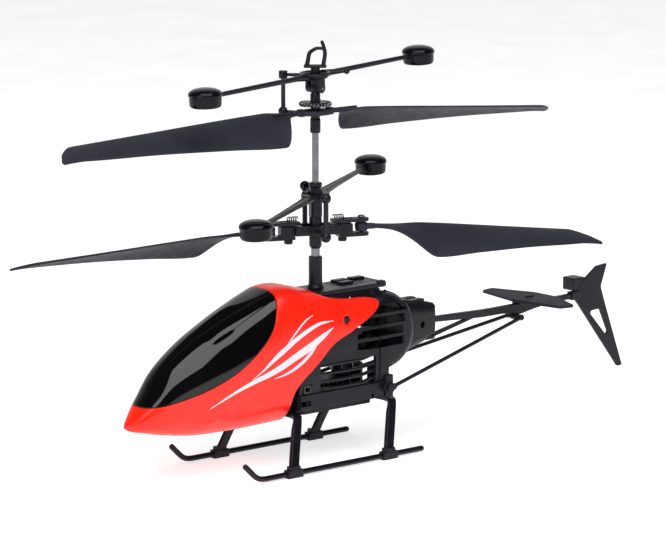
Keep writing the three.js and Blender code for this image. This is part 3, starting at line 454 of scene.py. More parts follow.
LAMP = surface("lamp", (0.60, 0.66, 0.80), (0.78, 0.84, 0.95), 0.12, coat=0.6)
BY_SLOT = {"black_plastic": BLACK, "blade_plastic": BLADE, "gloss_black": GLOSS, "red_shell": RED, "steel": STEEL,
           "nylon": NYLON, "battery_foil": FOIL, "board": BOARD, "lamp": LAMP}

# ---------------------------------------------------------------- pieces


def piece(name, mesh, body, slot, *nodes, material=None, place=None, sharp=34.0):
    """Puts a mesh in the scene on its CAD body, standing for the CAD nodes named."""
    mesh = moved(mesh, place or Matrix())          # a copy, so that a caller can mirror its own mesh afterwards
    mesh.transform(Matrix.Scale(MM, 4) @ Matrix.Translation((0, 0, -GROUND)))
    mesh.materials.clear()
    mesh.materials.append(material or BY_SLOT[slot])
    for polygon in mesh.polygons:
        polygon.use_smooth = True
        polygon.material_index = 0
    mesh.set_sharp_from_angle(angle=rad(sharp))
    mesh.name = name
    obj = bpy.data.objects.new(name, mesh)
    bpy.context.scene.collection.objects.link(obj)
    weighted = obj.modifiers.new("weighted", "WEIGHTED_NORMAL")
    weighted.keep_sharp = True
    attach(obj, body)
    if nodes:
        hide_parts(*nodes)
    return obj


AIR = "airframe"
PLASTIC = "black_plastic"
SCREW = (-2.1, 37.5)
STRUT_LOW_X, STRUT_LOW_Z = -16.6, 17.7

# ---------------------------------------------------------------- fuselage frame

BODY_BACK, BODY_FRONT, BODY_HALF, BODY_LOW, BODY_HIGH = -17.5, 13.0, 9.2, 14.8, 43.4
body_share = steady([(0, 0.88), (0.1, 0.94), (0.3, 1), (0.6, 1), (0.8, 0.92), (0.92, 0.7), (1, 0.57)])
cone_share = steady([(0, 0.7), (0.15, 0.95), (0.4, 1), (0.7, 1), (0.9, 0.9), (1, 0.7)])
CONE_X = [-39, -26, -21.5, -17]
cone_low = steady(list(zip(CONE_X, [27.3, 24.0, 22.6, 22.3])))
cone_high = steady(list(zip(CONE_X, [36.4, 39.2, 41.2, 42.6])))
cone_half = steady(list(zip(CONE_X, [3.4, 5.1, 5.4, 5.6])))
DRUM_X, DRUM_Z, DRUM_R = -18.0, 32.0, 10.3
SEAM = 0.05
WALL = 1.0
OUTSIDE = 12.0


def frame_ring(x, low, high, half, share, inset):
    """Half of a cross-section of the frame, from the seam round the side and back to the seam."""
    low, high, half = low + inset, high - inset, half - inset
    seam = SEAM if inset <= 0 else -1
    side = [(x, half * share(h), low + h * (high - low)) for h in spaced(0, 1, 25)]
    return [(x, seam, low), *side, (x, seam, high)]


def body_block(x0, x1, inset):
    return loft([frame_ring(x, BODY_LOW, BODY_HIGH, BODY_HALF, body_share, inset) for x in (x0, x1)])


def cone(x0, x1, inset):
    return loft([frame_ring(x, cone_low(x), cone_high(x), cone_half(x), cone_share, inset)
                 for x in spaced(x0, x1, 16)])


def drum(inset):
    """Round cover turned about a cross axis, with a raised rim where its dome starts."""
    dome = [(7.1 + 3.2 * math.cos(rad(t)), 5.3 + 3.5 * math.sin(rad(t))) for t in range(0, 91, 10)]
    rim = [(DRUM_R, SEAM), (DRUM_R, 4.5), (DRUM_R + 0.25, 4.6), (DRUM_R + 0.25, 5.1)]
    profile = [(0, SEAM)] + rim + dome + [(0, 9.0)]
    profile = [(max(r - inset, 0), y - inset) for r, y in profile]
    return moved(turned(profile, 72), Matrix.Translation((DRUM_X, 0, DRUM_Z)) @ Matrix.Rotation(rad(-90), 4, "X"))


VENT_Z, VENT_TALL, VENT_FRONT = [28.4, 31.4, 34.4, 37.4], 2.2, -6.6
VENT_REAR = [-23.2, -22.8, -23.6, -24.8]
SLAT_Z, SLAT_REAR, SLAT_FRONT = [20.3, 22.3, 24.3, 26.5], -14.2, 7.6


def slat(z):
    """One bar of the lower grille, bowed outwards, its rear end turned up and tucked in."""
    rings = []
    for x in spaced(SLAT_REAR, SLAT_FRONT, 29):
        bow = math.sin(math.pi * (x - SLAT_REAR) / (SLAT_FRONT - SLAT_REAR))
        lift = 0.75 * smoothstep((-7.5 - x) / 6)
        y = 8.45 + 0.7 * bow
        section = [(0, 0.0), (0.75, -0.05), (0.95, -0.3), (0.8, -0.72), (0, -0.85), (-0.5, -0.4)]
        rings.append([(x, y + dy - 0.6, z + dz + lift) for dy, dz in section])
    return loft(rings)


def frame_side(port):
    post_rib = body_block(-14.8, -14.4, -0.28)
    rail = box(-15.8, 12.9, 7.8, 9.4, 15.2, 19.3, 0.35)
    foot = box(-18.7, -15.9, 6.8, 9.7, 14.8, 20.9, 0.5)
    brace = rod((-19.8, 5.3, 42.2), (-14.4, 8.2, 39.6), 0.28, sides=10)
    web = rod((-19.3, 5.2, 42.6), (-24.6, 4.9, 38.9), 0.3, sides=10)
    boss = pin_y(1.45, 9.2, 10.35, STRUT_LOW_X, STRUT_LOW_Z, soften=0.25)
    ends = [pin_x(0.95, -39.3, -36.2, 2.2, z, soften=0.3) for z in (35.2, 27.4)]
    pad = box(-35.6, -30.8, 0.6, 2.8, 35.8, 38.0, 0.25)
    bulkhead = box(BODY_BACK, -16.6, 1.3, 8.6, 15.2, 22.6, 0.15)
    body = join(body_block(BODY_BACK, BODY_FRONT, 0), drum(0), cone(-39, -17, 0), post_rib, rail, foot, brace,
                web, pad, *ends)
    body = cut(body, join(body_block(BODY_BACK - 2, BODY_FRONT + 1, WALL), drum(WALL), cone(-26, -15.5, WALL)))
    body = join(body, boss, bulkhead)
    cuts = [
        box(-24.5, BODY_BACK, -1, 5.5, 20, 24, 0), box(5, 14, -1, OUTSIDE, 38, 46, 0),
        post(2.1, 41, 45, soften=0), pin_y(0.9, -1, 9, -33.8, 31.3, soften=0),
        pin_y(0.75, 5, OUTSIDE, *SCREW, soften=0), box(-12.9, 6.0, 6.5, OUTSIDE, 19.5, 26.5, 0),
        pin_y(0.55, 9.9, OUTSIDE, STRUT_LOW_X, STRUT_LOW_Z, soften=0),
        box(-12.1, -11.2, 8.6, OUTSIDE, 15.6, 16.5, 0),
        side_plate([(-8.0, 41.6), (-6.2, 41.6), (-7.0, 42.9)], 3, 9, 0),
    ]
    for z, rear in zip(VENT_Z, VENT_REAR):
        vent = [(rear, z), (VENT_FRONT, z), (VENT_FRONT, z + VENT_TALL), (rear, z + VENT_TALL)]
        cuts.append(side_plate(rounded(vent, 0.5, 4), 4.3, OUTSIDE, 0))
    if port:
        cuts += [box(9.5, 12.7, 6, OUTSIDE, 16.3, 17.7, 0), box(8.9, 11.9, 6, OUTSIDE, 19.3, 21.9, 0)]
    body = cut(body, *cuts)
    body = join(body, *[slat(z) for z in SLAT_Z])
    return body if port else mirrored(body)


piece("frame_half_port", frame_side(True), AIR, PLASTIC, "frame_left")
piece("frame_half_starboard", frame_side(False), AIR, PLASTIC, "frame_right")


def deck():
    shape = rounded([(-20.6, -5.3), (5.2, -5.3), (5.2, 5.3), (-20.6, 5.3)], 1.6, 5)
    inner = rounded([(-19.4, -4.3), (-6.4, -4.3), (-6.4, 1.8), (-19.4, 1.8)], 0.8, 4)
    pads = [(-18.8, -14.4, -4.4, -2.2), (-13.2, -8.8, -4.4, -2.2), (-12.2, -8.2, -1.2, 1.0)]
    raised = [box(x0, x1, y0, y1, 44.5, 45.35, 0.22) for x0, x1, y0, y1 in pads]
    corner = post(1.25, 43.5, 45.1, -19.0, 4.1, soften=0.25)
    groove = cut(plate(inner, 44.55, 45, 0), plate(rounded(
        [(-19.0, -3.9), (-6.8, -3.9), (-6.8, 1.4), (-19.0, 1.4)], 0.6, 4), 44, 46, 0))
    top = join(cut(plate(shape, 43.5, 44.7, 0.25), groove), *raised, corner)
    return cut(top, post(2.0, 40, 50, soften=0), post(0.45, 44.6, 46, -19.0, 4.1, soften=0))


piece("deck_moulding", deck(), AIR, PLASTIC, "top_deck")
tray = rounded([(-13.5, -7), (10.5, -7), (10.5, 7), (-13.5, 7)], 1.4, 5)
tray_lip = cut(plate(tray, 13.5, 14.65, 0.2), box(-9.5, -8.5, -5, 5, 13, 13.8, 0), box(5.5, 6.5, -5, 5, 13, 13.8, 0))
piece("battery_door", tray_lip, AIR, PLASTIC, "battery_tray")
mast = rounded([(1.25, 44.85), (2.2, 44.85), (2.2, 45.15), (1.8, 45.85), (1.8, 53.2), (1.25, 53.2)], 0.15, 3)
piece("mast_tube", turned(mast + mast[:1], 48), AIR, PLASTIC, "mast_sleeve")

# ---------------------------------------------------------------- nose shell and canopy

NOSE_TIP = 62.7
nose_low = table([(-17, 13.4), (0, 13.0), (14, 12.3), (30, 11.7), (42, 11.9), (52, 13.3), (57, 14.4), (61.1, 15.4),
                  (NOSE_TIP, 16.3)])
nose_high = table([(-17, 44.2), (0, 45.1), (8, 46.2), (12.5, 47.4), (17, 47.3), (21, 46.1), (25, 44.6),
                   (34, 40.9), (43, 36.3), (51, 30.6), (56, 24.5), (61.1, 18.7), (NOSE_TIP, 17.1)])
nose_half = table([(-17, 10.8), (-4, 11.1), (8, 11.3), (20, 11.1), (32, 10.4), (42, 9.1), (51, 7.0), (57, 4.9),
                   (61.1, 2.3), (NOSE_TIP, 0.6)])
crease = table([(4, 27.4), (13.3, 24.7), (18.5, 23.7), (24.1, 23.9), (28.3, 23.2), (32.4, 21.8), (36.2, 20.1),
                (38.8, 17.2), (41, 12)])
TIP_X = [NOSE_TIP - gap for gap in (1.3, 0.95, 0.65, 0.42, 0.25, 0.1, 0)]
NOSE_X = spaced(-17, 8, 14) + spaced(9.5, 54, 34) + spaced(55, 60.8, 10) + TIP_X
NOSE_SIDES = 112


def nose_exponent(x):
    return 3.1 - 0.7 * min(max((x - 8) / 28, 0.0), 1.0)


def jaw(x, z):
    """How far the lower panel is set in below its crease."""
    fade = smoothstep((x - 4) / 8) * smoothstep((42 - x) / 3)
    return 0.42 * fade * smoothstep((crease(x) - z) / 0.9)


def nose_ring(x, inset, groove=True):
    low, high, half = nose_low(x) + inset, nose_high(x) - inset, nose_half(x) - inset
    power = 2 / nose_exponent(x)
    ring = []
    for i in range(NOSE_SIDES):
        angle = 2 * math.pi * i / NOSE_SIDES
        c, s = math.cos(angle), math.sin(angle)
        y = half * math.copysign(abs(c)**power, c)
        z = (low + high) / 2 + (high - low) / 2 * math.copysign(abs(s)**power, s)
        if groove:
            y *= 1 - jaw(x, z) / max(half, 1.0)
        ring.append((x, y, z))
    return ring


def shell_y(x, z):
    low, high = nose_low(x), nose_high(x)
    power = nose_exponent(x)
    share = min(abs(z - (low + high) / 2) / ((high - low) / 2), 1.0)
    y = nose_half(x) * (1 - share**power)**(1 / power)
    return y * (1 - jaw(x, z) / max(nose_half(x), 1.0))


def window_outline(grow):
    edge = catmull([(18, 52), (18.4, 46.9), (20.4, 42.3), (22.6, 38), (26.4, 33.9), (33.7, 28.75), (42, 25.2),
                    (50, 22.9), (57, 21.6), (66, 21.2)], 14)
    shift = grow * math.sqrt(0.5)
    return [(p.x - shift, p.y - shift) for p in edge] + [(66, 52)]


def shell_outline():
    edge = catmull([(8.6, 52), (7.9, 47.5), (6.5, 45.7), (2.1, 43.6), (-4, 42.5), (-10.6, 42.1), (-13.4, 41.4),
                    (-13.8, 40.2), (-11.9, 38.5), (-8.6, 36.85), (-3, 34.4), (2.9, 32.1), (8.3, 27.7), (12.5, 24.2),
                    (15.3, 21), (16.1, 17.5), (16.3, 12), (16.5, 9)], 10)
    return [tuple(p) for p in edge] + [(70, 9), (70, 52)]


def nose_skin():
    outer = loft([nose_ring(x, 0) for x in NOSE_X])
    inner = [nose_ring(x, 0.9, False) for x in NOSE_X[:-7]]
    inner[0] = [(-19, y, z) for _, y, z in inner[0]]
    return cut(outer, loft(inner))


skin = nose_skin()
deck_room = box(-20.9, 5.5, -5.6, 5.6, 42, 45.0, 0)
seats = []
for side in (1, -1):
    seats += [pin_y(0.85, side * 6, side * 12.5, *SCREW, soften=0), pin_y(1.5, side * 10.0, side * 12.5, *SCREW, soften=0)]
shell = overlap(skin, side_plate(shell_outline(), -14, 14, 0))
shell = cut(shell, side_plate(window_outline(0.15), -14, 14, 0), deck_room, *seats)
piece("nose_shell_moulding", shell, AIR, "red_shell", "nose_shell", sharp=40)
pane = overlap(skin, side_plate(window_outline(-0.15), -14, 14, 0))
piece("window_moulding", pane, AIR, "gloss_black", "canopy_window", material=WINDOW, sharp=40)


def cross_screw(x, z, y0, y1, head):
    """Self-tapping screw along Y with a cross recess in its domed head."""
    shank = pin_y(0.68, y0, y1 - 0.3, x, z)
    dome = moved(turned([(0, -0.5), (head, -0.5), (head, -0.1), (head * 0.82, 0.06), (head * 0.5, 0.16), (0, 0.2)], 32),
                 Matrix.Translation((x, y1, z)) @ Matrix.Rotation(rad(-90), 4, "X"))
    slots = [box(x - a, x + a, y1 - 0.2, y1 + 1, z - b, z + b, 0) for a, b in ((0.75, 0.16), (0.16, 0.75))]
    return cut(join(shank, dome), *slots)


for side, node in ((1, "shell_screw_left"), (-1, "shell_screw_right")):
    screw = cross_screw(*SCREW, 6.9, 10.0, 1.25)
    piece(node + "_turned", screw if side > 0 else mirrored(screw), AIR, "steel", node, material=CAN)

# Painted stripes: (x, z, half width) along each one, laid on the shell.
STRIPES = {
    "long": [(42.2, 20.1, 0.06), (35.4, 23.3, 0.33), (29.6, 25.4, 0.55), (24.8, 26.8, 0.72), (20.6, 28.3, 0.84),
             (15.9, 30.4, 0.94), (11.1, 32.4, 1.0), (6.9, 34.5, 0.66), (3.1, 36.4, 0.05)],
    "inner": [(23.0, 25.5, 0.05), (19.0, 26.3, 0.28), (14.9, 28.0, 0.42), (11.5, 30.3, 0.42), (9.4, 32.2, 0.2)],
    "upper": [(29.9, 26.1, 0.05), (26.6, 28.0, 0.2), (22.1, 31.1, 0.6), (19.6, 32.6, 0.68), (15.8, 34.8, 0.58),
              (11.6, 36.7, 0.52), (7.5, 37.9, 0.36), (2.9, 38.0, 0.05)],
    "fine": [(19.6, 32.8, 0.05), (17.3, 35.2, 0.17), (14.6, 37.6, 0.2), (12.2, 39.3, 0.17), (9.6, 40.3, 0.05)],
}
PAINT = 0.05


def stripe(points):
    """A thin painted strip that follows the shell, swept along its centre line."""
    dense = catmull(points, 10)
    rings = []
    for i, p in enumerate(dense):
        along = (dense[min(i + 1, len(dense) - 1)] - dense[max(i - 1, 0)])
        across = Vector((-along[1], along[0])).normalized() * max(p[2], 0.03)
        lifted, sunk = [], []
        for share in (-1, -0.5, 0, 0.5, 1):
            x, z = p[0] + across[0] * share, p[1] + across[1] * share
            y = shell_y(x, z)
            lifted.append((x, y + PAINT, z))
            sunk.append((x, y - PAINT, z))
        rings.append(lifted + sunk[::-1])
    return loft(rings)


for tag, points in STRIPES.items():
    strip = stripe(points)
    piece(f"stripe_{tag}_port", strip, AIR, "red_shell", material=STRIPE)
    piece(f"stripe_{tag}_starboard", mirrored(strip), AIR, "red_shell", material=STRIPE)

# ---------------------------------------------------------------- landing gear

SKID_Y, SKID_Z, SKID_R = 15.1, 1.1, 0.75
LEG_FRONT, LEG_REAR, LEG_RAKE = 13.3, -19.0, 6.8


def leg_section(at, out):
    """Rounded strap section, 2.8 wide along X and 1.2 thick, at one place along a leg."""
    outline = rounded([(1.4, 0.6), (-1.4, 0.6), (-1.4, -0.6), (1.4, -0.6)], 0.35, 3)
    return [(at[0] + a, at[1] + b * out[0], at[2] + b * out[1]) for a, b in outline]


def leg_pair(x):
    keys = [((x, 0, 14.0), 90), ((x, 4, 14.0), 90), ((x + 0.2, 7.6, 14.0), 88), ((x + 1.2, 9.8, 13.8), 74),
            ((x + 2.5, 11.3, 13.0), 42), ((x + 3.5, 12.2, 11.4), 14), ((x + 4.3, 12.9, 9.0), 6),
            ((x + 5.6, 14.0, 5.4), 4), ((x + LEG_RAKE, SKID_Y, 1.6), 0)]
    dense = catmull([(*at, turn) for at, turn in keys], 5)
    half = [leg_section(p, (math.cos(rad(p[3])), math.sin(rad(p[3])))) for p in dense]
    legs = join(loft(half), mirrored(loft(half)))
    cx = x + LEG_RAKE
    for side in (1, -1):
        y = side * SKID_Y
        clamp = box(cx - 2.5, cx + 2.5, y - 1.1, y + 1.1, 0, 2.2, 0.28)
        knee = box(cx - 1.7, cx + 1.7, y - 0.9, y + 0.9, 1.6, 3.1, 0.3)
        legs = join(legs, clamp, knee)
        legs = cut(legs, pin_x(SKID_R + 0.04, cx - 5, cx + 5, y, SKID_Z, soften=0),
                   *[box(cx + s - 0.15, cx + s + 0.15, y - 2, y + 2, 1.9, 4, 0) for s in (-2.1, 2.1)])
    return legs


piece("landing_legs_front", leg_pair(LEG_FRONT), AIR, PLASTIC, "legs_front")
piece("landing_legs_rear", leg_pair(LEG_REAR), AIR, PLASTIC, "legs_rear")


def skid():
    flat = [(x, SKID_Y, SKID_Z) for x in [-24.3, -24.1, -23.8, -23.4] + spaced(-22, 28, 8)]
    bend = [(29.5, SKID_Y, SKID_Z), (31.2, SKID_Y, 1.32), (32.6, SKID_Y, 1.98), (33.7, SKID_Y, 2.9)]
    rise = [(x, SKID_Y, 2.9 + (x - 33.7) * 0.966) for x in (34.8, 35.6, 36.1, 36.35, 36.6)]
    return sweep(flat + catmull(bend, 4)[:-1] + rise, lambda s: SKID_R * blunt(s, 0.08), 20)


piece("skid_tube_port", skid(), AIR, PLASTIC, "skid_left")
piece("skid_tube_starboard", mirrored(skid()), AIR, PLASTIC, "skid_right")

# ---------------------------------------------------------------- tail


def boom():
    bar = side_plate(rounded([(-39.4, 32.1), (-60, 31.6), (-92.2, 31.9), (-92.2, 30.5), (-84, 30.3), (-78, 29.6),
                              (-72, 28.6), (-66.5, 29.6), (-58, 29.6), (-39.4, 30.6)], 1.2, 4), -0.8, 0.8, 0.25)
    brace = side_plate([(-39.4, 27.2), (-55, 30.4), (-57, 30.0), (-39.4, 26.1)], -0.48, 0.48, 0.15)
    foot = box(-40.4, -39.45, -0.8, 0.8, 26.1, 32.1, 0.15)
    lug = pin_y(0.95, -1.2, 1.2, -71.3, 28.2, soften=0.2)
    saddle = box(-81.5, -71.5, -1.5, 1.5, 31.4, 32.15, 0.2)
    return join(bar, brace, foot, lug, saddle)


piece("boom_moulding", boom(), AIR, PLASTIC, "tail_boom")


def strut():
    low, high = Vector((STRUT_LOW_X, 11.0, STRUT_LOW_Z)), Vector((-71.3, 2.5, 28.2))
    eye = pin_y(1.15, 10.45, 11.55, low.x, low.z, soften=0.2)
    return join(rod(low, high, 0.52, sides=18), eye, ball(0.85, high), ball(0.9, low + Vector((-1.0, 0, 0.2))))


piece("strut_rod_port", strut(), AIR, PLASTIC, "strut_left")
piece("strut_rod_starboard", mirrored(strut()), AIR, PLASTIC, "strut_right")

wing = rounded([(-70.5, 0), (-73.4, 15.6), (-77.8, 16.4), (-82.6, 4), (-82.6, -4), (-77.8, -16.4), (-73.4, -15.6)], 0.9, 4)
wing_plate = join(plate(wing, 32.2, 33.0, 0.2), plate(oval(1.5, 0.8, 28, -76.5), 32.9, 33.35, 0.12))
piece("stabiliser_plate", wing_plate, AIR, "blade_plastic", "stabiliser")


def fin():
    shape = rounded([(-92.5, 31.6), (-97.4, 35.4), (-102, 38.5), (-105.9, 38.9), (-103.6, 32.6), (-105.4, 27.5),
                     (-112.3, 9.2), (-110.6, 9.0), (-95.4, 28.2)], 0.5, 4)
    gap = rounded([(-99.9, 26.2), (-103.4, 26.4), (-106.7, 19.4), (-105.8, 18.6), (-99.6, 25.4)], 0.7, 4)
    plate_part = cut(side_plate(shape, -0.4, 0.4, 0.14), side_plate(gap, -2, 2, 0))
    pod = cut(box(-97.6, -93.4, -4.4, 0.2, 32.4, 36.0, 0.35), box(-96.9, -94.1, -5, -0.8, 33, 35.4, 0.1))
    socket = box(-95.0, -92.0, -1.15, 1.15, 30.1, 32.4, 0.25)
    bore = box(-93, -91, -0.82, 0.82, 30.4, 32.0, 0)
    return cut(join(plate_part, pod, socket), bore)


piece("fin_moulding", fin(), AIR, PLASTIC, "tail_fin")

# ---------------------------------------------------------------- blades and weights


def blade(start, tip, wide, droop, trail, stations=64):
    """A cambered, twisted blade along +X with rounded edges and a raked tip."""
    at = [start, start + 3.5, wide] + [wide + s * (tip - 6.5 - wide) for s in (0.3, 0.65, 1)] + [tip - 2.6, tip]
    chord = steady(list(zip(at, [2.4, 3.0, 14.2, 12.9, 11.0, 9.2, 6.2, 1.6])))
    ahead = steady(list(zip(at, [1.2, 1.4, 2.2, 2.4, 2.4, 2.4, -0.6, -5.2])))
    pitch = steady(list(zip(at, [0, 4, 31, 26, 20, 15, 14, 14])))
    thick = steady(list(zip(at, [1.1, 1.0, 0.8, 0.8, 0.75, 0.7, 0.65, 0.6])))
    root, outer = spaced(start, wide + 4, 22), spaced(wide + 5, tip - 7, stations - 38)
    rings = []
    for r in root + outer + spaced(tip - 6, tip, 16):
        c, width = chord(r), thick(r) * 0.5
        cos, sin = math.cos(rad(pitch(r))), math.sin(rad(pitch(r)))
        sag = (r - start) * math.tan(rad(droop))

        def point(share, lift):
            back = share * c - ahead(r)
            up = 0.2 * c * share * (1 - share) + lift
            return r, trail * (back * cos + up * sin), up * cos - back * sin - sag

        shares = [(1 - math.cos(math.pi * i / 16)) / 2 for i in range(17)]
        edge = [width * math.sqrt(max(0.0, 1 - abs(2 * s - 1)**7)) for s in shares]
        over = [point(s, e) for s, e in zip(shares, edge)]
        under = [point(s, -e) for s, e in zip(shares[1:-1], edge[1:-1])]
        rings.append(over + under[::-1])
    return loft(rings)


WEIGHT_R, WEIGHT_H, BAR_R = 4.35, 2.5, 41.0
BAR_END = BAR_R - WEIGHT_R + 2.2


def weight(x):
    r, h = WEIGHT_R, WEIGHT_H
    profile = [(0, -h), (r - 0.9, -h), (r - 0.4, -h + 0.25), (r - 0.25, -h + 0.9), (r - 0.2, 0.3), (r, 0.42),
               (r, 0.95), (r - 0.15, 1.3), (r - 0.6, 1.75), (r - 1.5, 2.15), (r - 2.8, 2.42), (0, h)]
    body = spun(profile, 0.3, 64)
    away = -1 if x > 0 else 1
    body = shifted(body, x)
    return cut(body, pin_x(0.8, *sorted((x + away * (WEIGHT_R + 1), x + away * (WEIGHT_R - 2.6))), soften=0))


def cup_rod(length, radius, knob, cup):
    """Pushrod hanging from the ball at its local origin, with an open cup at each end."""
    top = ball(1.35, (0, 0, 0)) if knob == "round" else spun([(0, -0.95), (1.15, -0.95), (1.15, 1.0), (0, 1.0)], 0.25)
    foot = ball(cup + 0.38, (0, 0, -length))
    bar = rod((0, 0, -0.8), (0, 0, 0.95 - length), radius, sides=20)
    solid = join(bar, top, foot)
    low = -1.1 if knob == "round" else -0.75          # the lower arms slope down to the rod and swing about 15 degrees
    return cut(solid, ball(0.78, (0, 0, 0), 20), ball(cup, (0, 0, -length), 20),
               box(-3, 0, -0.6, 0.6, low, 0.75, 0.05), box(-3, 0, -0.6, 0.6, -0.75 - length, 0.75 - length, 0.05))


def head(z, turn, tilt=0.0):
    return Matrix.Translation((0, 0, z)) @ Matrix.Rotation(rad(turn), 4, "Z") @ Matrix.Rotation(rad(tilt), 4, "Y")


# ---------------------------------------------------------------- upper rotor head

UP_Z, UP_TURN = 91.0, -7.5
UP_BAR_Z, UP_BAR_TURN, UP_TILT, UP_RISE = 97.3, 7.8, 2.2, 3.2
UP_ARM, UP_ARM_R, UP_ARM_RISE, UP_HORN = -29, 8.33, 3.9, 0.4
on_upper = head(UP_Z, UP_TURN)
on_upper_bar = head(UP_BAR_Z, UP_BAR_TURN, UP_TILT)


def upper_hub():
    lift = UP_BAR_Z - UP_Z
    body = spun([(0, -5.4), (1.35, -5.4), (1.35, -2.0), (1.2, -1.7), (1.2, 1.6), (3.15, 1.6), (3.15, 2.6), (1.3, 2.6),
                 (1.3, 4.6), (1.05, 5.0), (1.2, 8.0), (1.2, 11.4), (0, 11.4)], 0.15, 40)
    across = polar(1, UP_BAR_TURN - UP_TURN + 90)

    def on_pin(d):
        return across * d + Vector((0, 0, lift))

    barrel = rod(on_pin(-1.35), on_pin(1.35), 1.4, sides=32, soften=0.2)
    hub = join(body, barrel, pin_x(0.5, -4.5, 4.5, soften=0.1))
    return cut(hub, rod(on_pin(-3), on_pin(3), 0.45, soften=0), post(0.9, -7, -1.8, soften=0),
               rod((0.4, 0, -4.3), (3, 0, -4.3), 0.4, sides=16, soften=0))


piece("upper_hub_moulding", upper_hub(), "upper_head", PLASTIC, "upper_hub", place=on_upper)


def garter():
    turns, per = 27, 12
    path = []
    for i in range(turns * per):
        around, twist = 2 * math.pi * i / (turns * per), 2 * math.pi * i / per
        r = 3.72 + 0.46 * math.cos(twist)
        path.append((r * math.cos(around), r * math.sin(around), 2.1 + 0.46 * math.sin(twist)))
    return sweep(path, 0.15, 7, around=True)


piece("hub_spring_coil", garter(), "upper_head", "steel", "hub_spring", place=on_upper, sharp=80)


def upper_rotor():
    ring = cut(plate(oval(4.9, 3.3, 64), -0.7, 0.5, 0.25), plate(oval(3.4, 2.1, 48), -2, 2, 0))
    horn_turn = UP_ARM - UP_TURN
    tip = polar(UP_ARM_R, horn_turn, UP_HORN)
    parts = []
    for turn in (0, 180):
        root = box(3.5, 5.2, -0.95, 0.95, -0.95, 0.95, 0.25)
        wing = blade(4.4, 77.5, 15, 3.7, 1)
        ridge = rod((5.0, 0.9, 0.1), (13.5, 1.1, 0.3), 0.42, 0.3, sides=12)
        parts += [spin(root, turn), spin(wing, turn), spin(ridge, turn)]
    body = join(ring, *parts, rod(polar(4.0, horn_turn), tip, 0.4, sides=16), ball(0.55, tip, 18))
    slots = [spin(plate(rounded([(6.0, -0.25), (9.6, -0.35), (9.6, 0.45), (6.0, 0.35)], 0.3, 4), -3, 3, 0), t)
             for t in (0, 180)]
    return cut(body, pin_x(0.56, -4.6, 4.6, soften=0), *slots)


piece("upper_rotor_blades", upper_rotor(), "upper_rotor", "blade_plastic", "upper_rotor", place=on_upper)


def upper_flybar():
    rise = UP_RISE
    rim = [(2.05, rise - 0.9), (3.3, rise - 0.75), (4.25, rise + 0.25), (4.25, rise + 0.8), (3.75, rise + 0.9),
           (3.3, rise + 0.55), (2.2, rise + 0.45), (1.75, rise - 0.4)]
    ring = rounded(rim, 0.25, 3)
    bowl = moved(turned(ring + ring[:1], 64), Matrix.Scale(0.93, 4, (0, 1, 0)))
    bars = [rod((s * 3.2, 0, rise), (s * BAR_END, 0, rise), 0.72, 0.6, sides=20) for s in (1, -1)]
    flares = [rod((s * 3.0, 0, rise), (s * 7.5, 0, rise), 1.15, 0.68, sides=20) for s in (1, -1)]
    lugs = []
    for s in (1, -1):
        y0, y1 = sorted((s * 1.5, s * 2.4))
        lugs += [box(-1.2, 1.2, y0, y1, 0, rise - 0.2, 0.1), pin_y(1.3, y0, y1, 0, 0)]
    arms = []
    for half in (0, 180):
        bearing = UP_ARM - UP_BAR_TURN + half
        end = polar(UP_ARM_R, bearing, UP_ARM_RISE)
        arms += [rod(polar(3.6, bearing, rise + 0.3), end, 0.5, 0.42, sides=16), ball(0.85 if half else 0.65, end)]
    body = join(bowl, *bars, *flares, *lugs, *arms)
    return cut(body, pin_y(0.47, -3, 3, 0, 0, soften=0))


piece("upper_flybar_moulding", upper_flybar(), "upper_flybar", PLASTIC, "upper_flybar", place=on_upper_bar)
for tag, x in (("a", BAR_R), ("b", -BAR_R)):
    piece(f"upper_weight_{tag}_turned", shifted(weight(x), z=UP_RISE), "upper_flybar", "gloss_black",
          f"upper_weight_{tag}", place=on_upper_bar)
cross_pin = spun([(0, -2.6), (0.4, -2.6), (0.4, 2.6), (0, 2.6)], 0.1, 20)
piece("upper_flybar_pin_turned", moved(cross_pin, Matrix.Rotation(rad(90), 4, "X")), "upper_head", "steel",
      "upper_flybar_pin", place=head(UP_BAR_Z, UP_BAR_TURN))


def rod_place(bar_z, bar_turn, tilt, bearing, radius, rise):
    top = Matrix.Rotation(rad(tilt), 3, "Y") @ polar(radius, bearing, rise)
    place = head(bar_z, bar_turn) @ Matrix.Translation(top) @ Matrix.Rotation(rad(bearing), 4, "Z")
    return place, bar_z + top.z


place, top_z = rod_place(UP_BAR_Z, UP_BAR_TURN, UP_TILT, UP_ARM - UP_BAR_TURN, UP_ARM_R, UP_ARM_RISE)
piece("upper_pushrod_moulding", cup_rod(top_z - UP_Z - UP_HORN, 0.56, "flat", 0.9), "upper_pushrod", PLASTIC,
      "upper_pushrod", place=place)


def hook():
    foot = plate(rounded([(-3.0, -1.1), (2.9, -1.1), (2.9, 1.1), (-3.0, 1.1)], 0.8, 5), 0, 0.75, 0.2)
    loop = catmull([(-2.25, 0, 0.3), (-1.9, 0, 1.8), (-1.5, 0, 3.7), (-0.6, 0, 4.5), (0.5, 0, 5.0), (2.3, 0, 4.9)], 7)
    finger = catmull([(2.0, 0, 0.3), (2.3, 0, 2.0), (2.5, 0, 3.6), (2.25, 0, 5.1), (1.9, 0, 6.2), (1.6, 0, 7.0)], 7)
    thin = sweep(loop, lambda s: (0.62 - 0.22 * s) * blunt(s, 0.03), 16)
    thick = sweep(finger, lambda s: (0.58 - 0.14 * s) * blunt(s, 0.05), 16)
    return join(foot, thin, thick)


piece("lifting_hook", hook(), "upper_head", PLASTIC, "top_hook", place=head(UP_Z + 11.5, 139.5))

# ---------------------------------------------------------------- lower rotor head

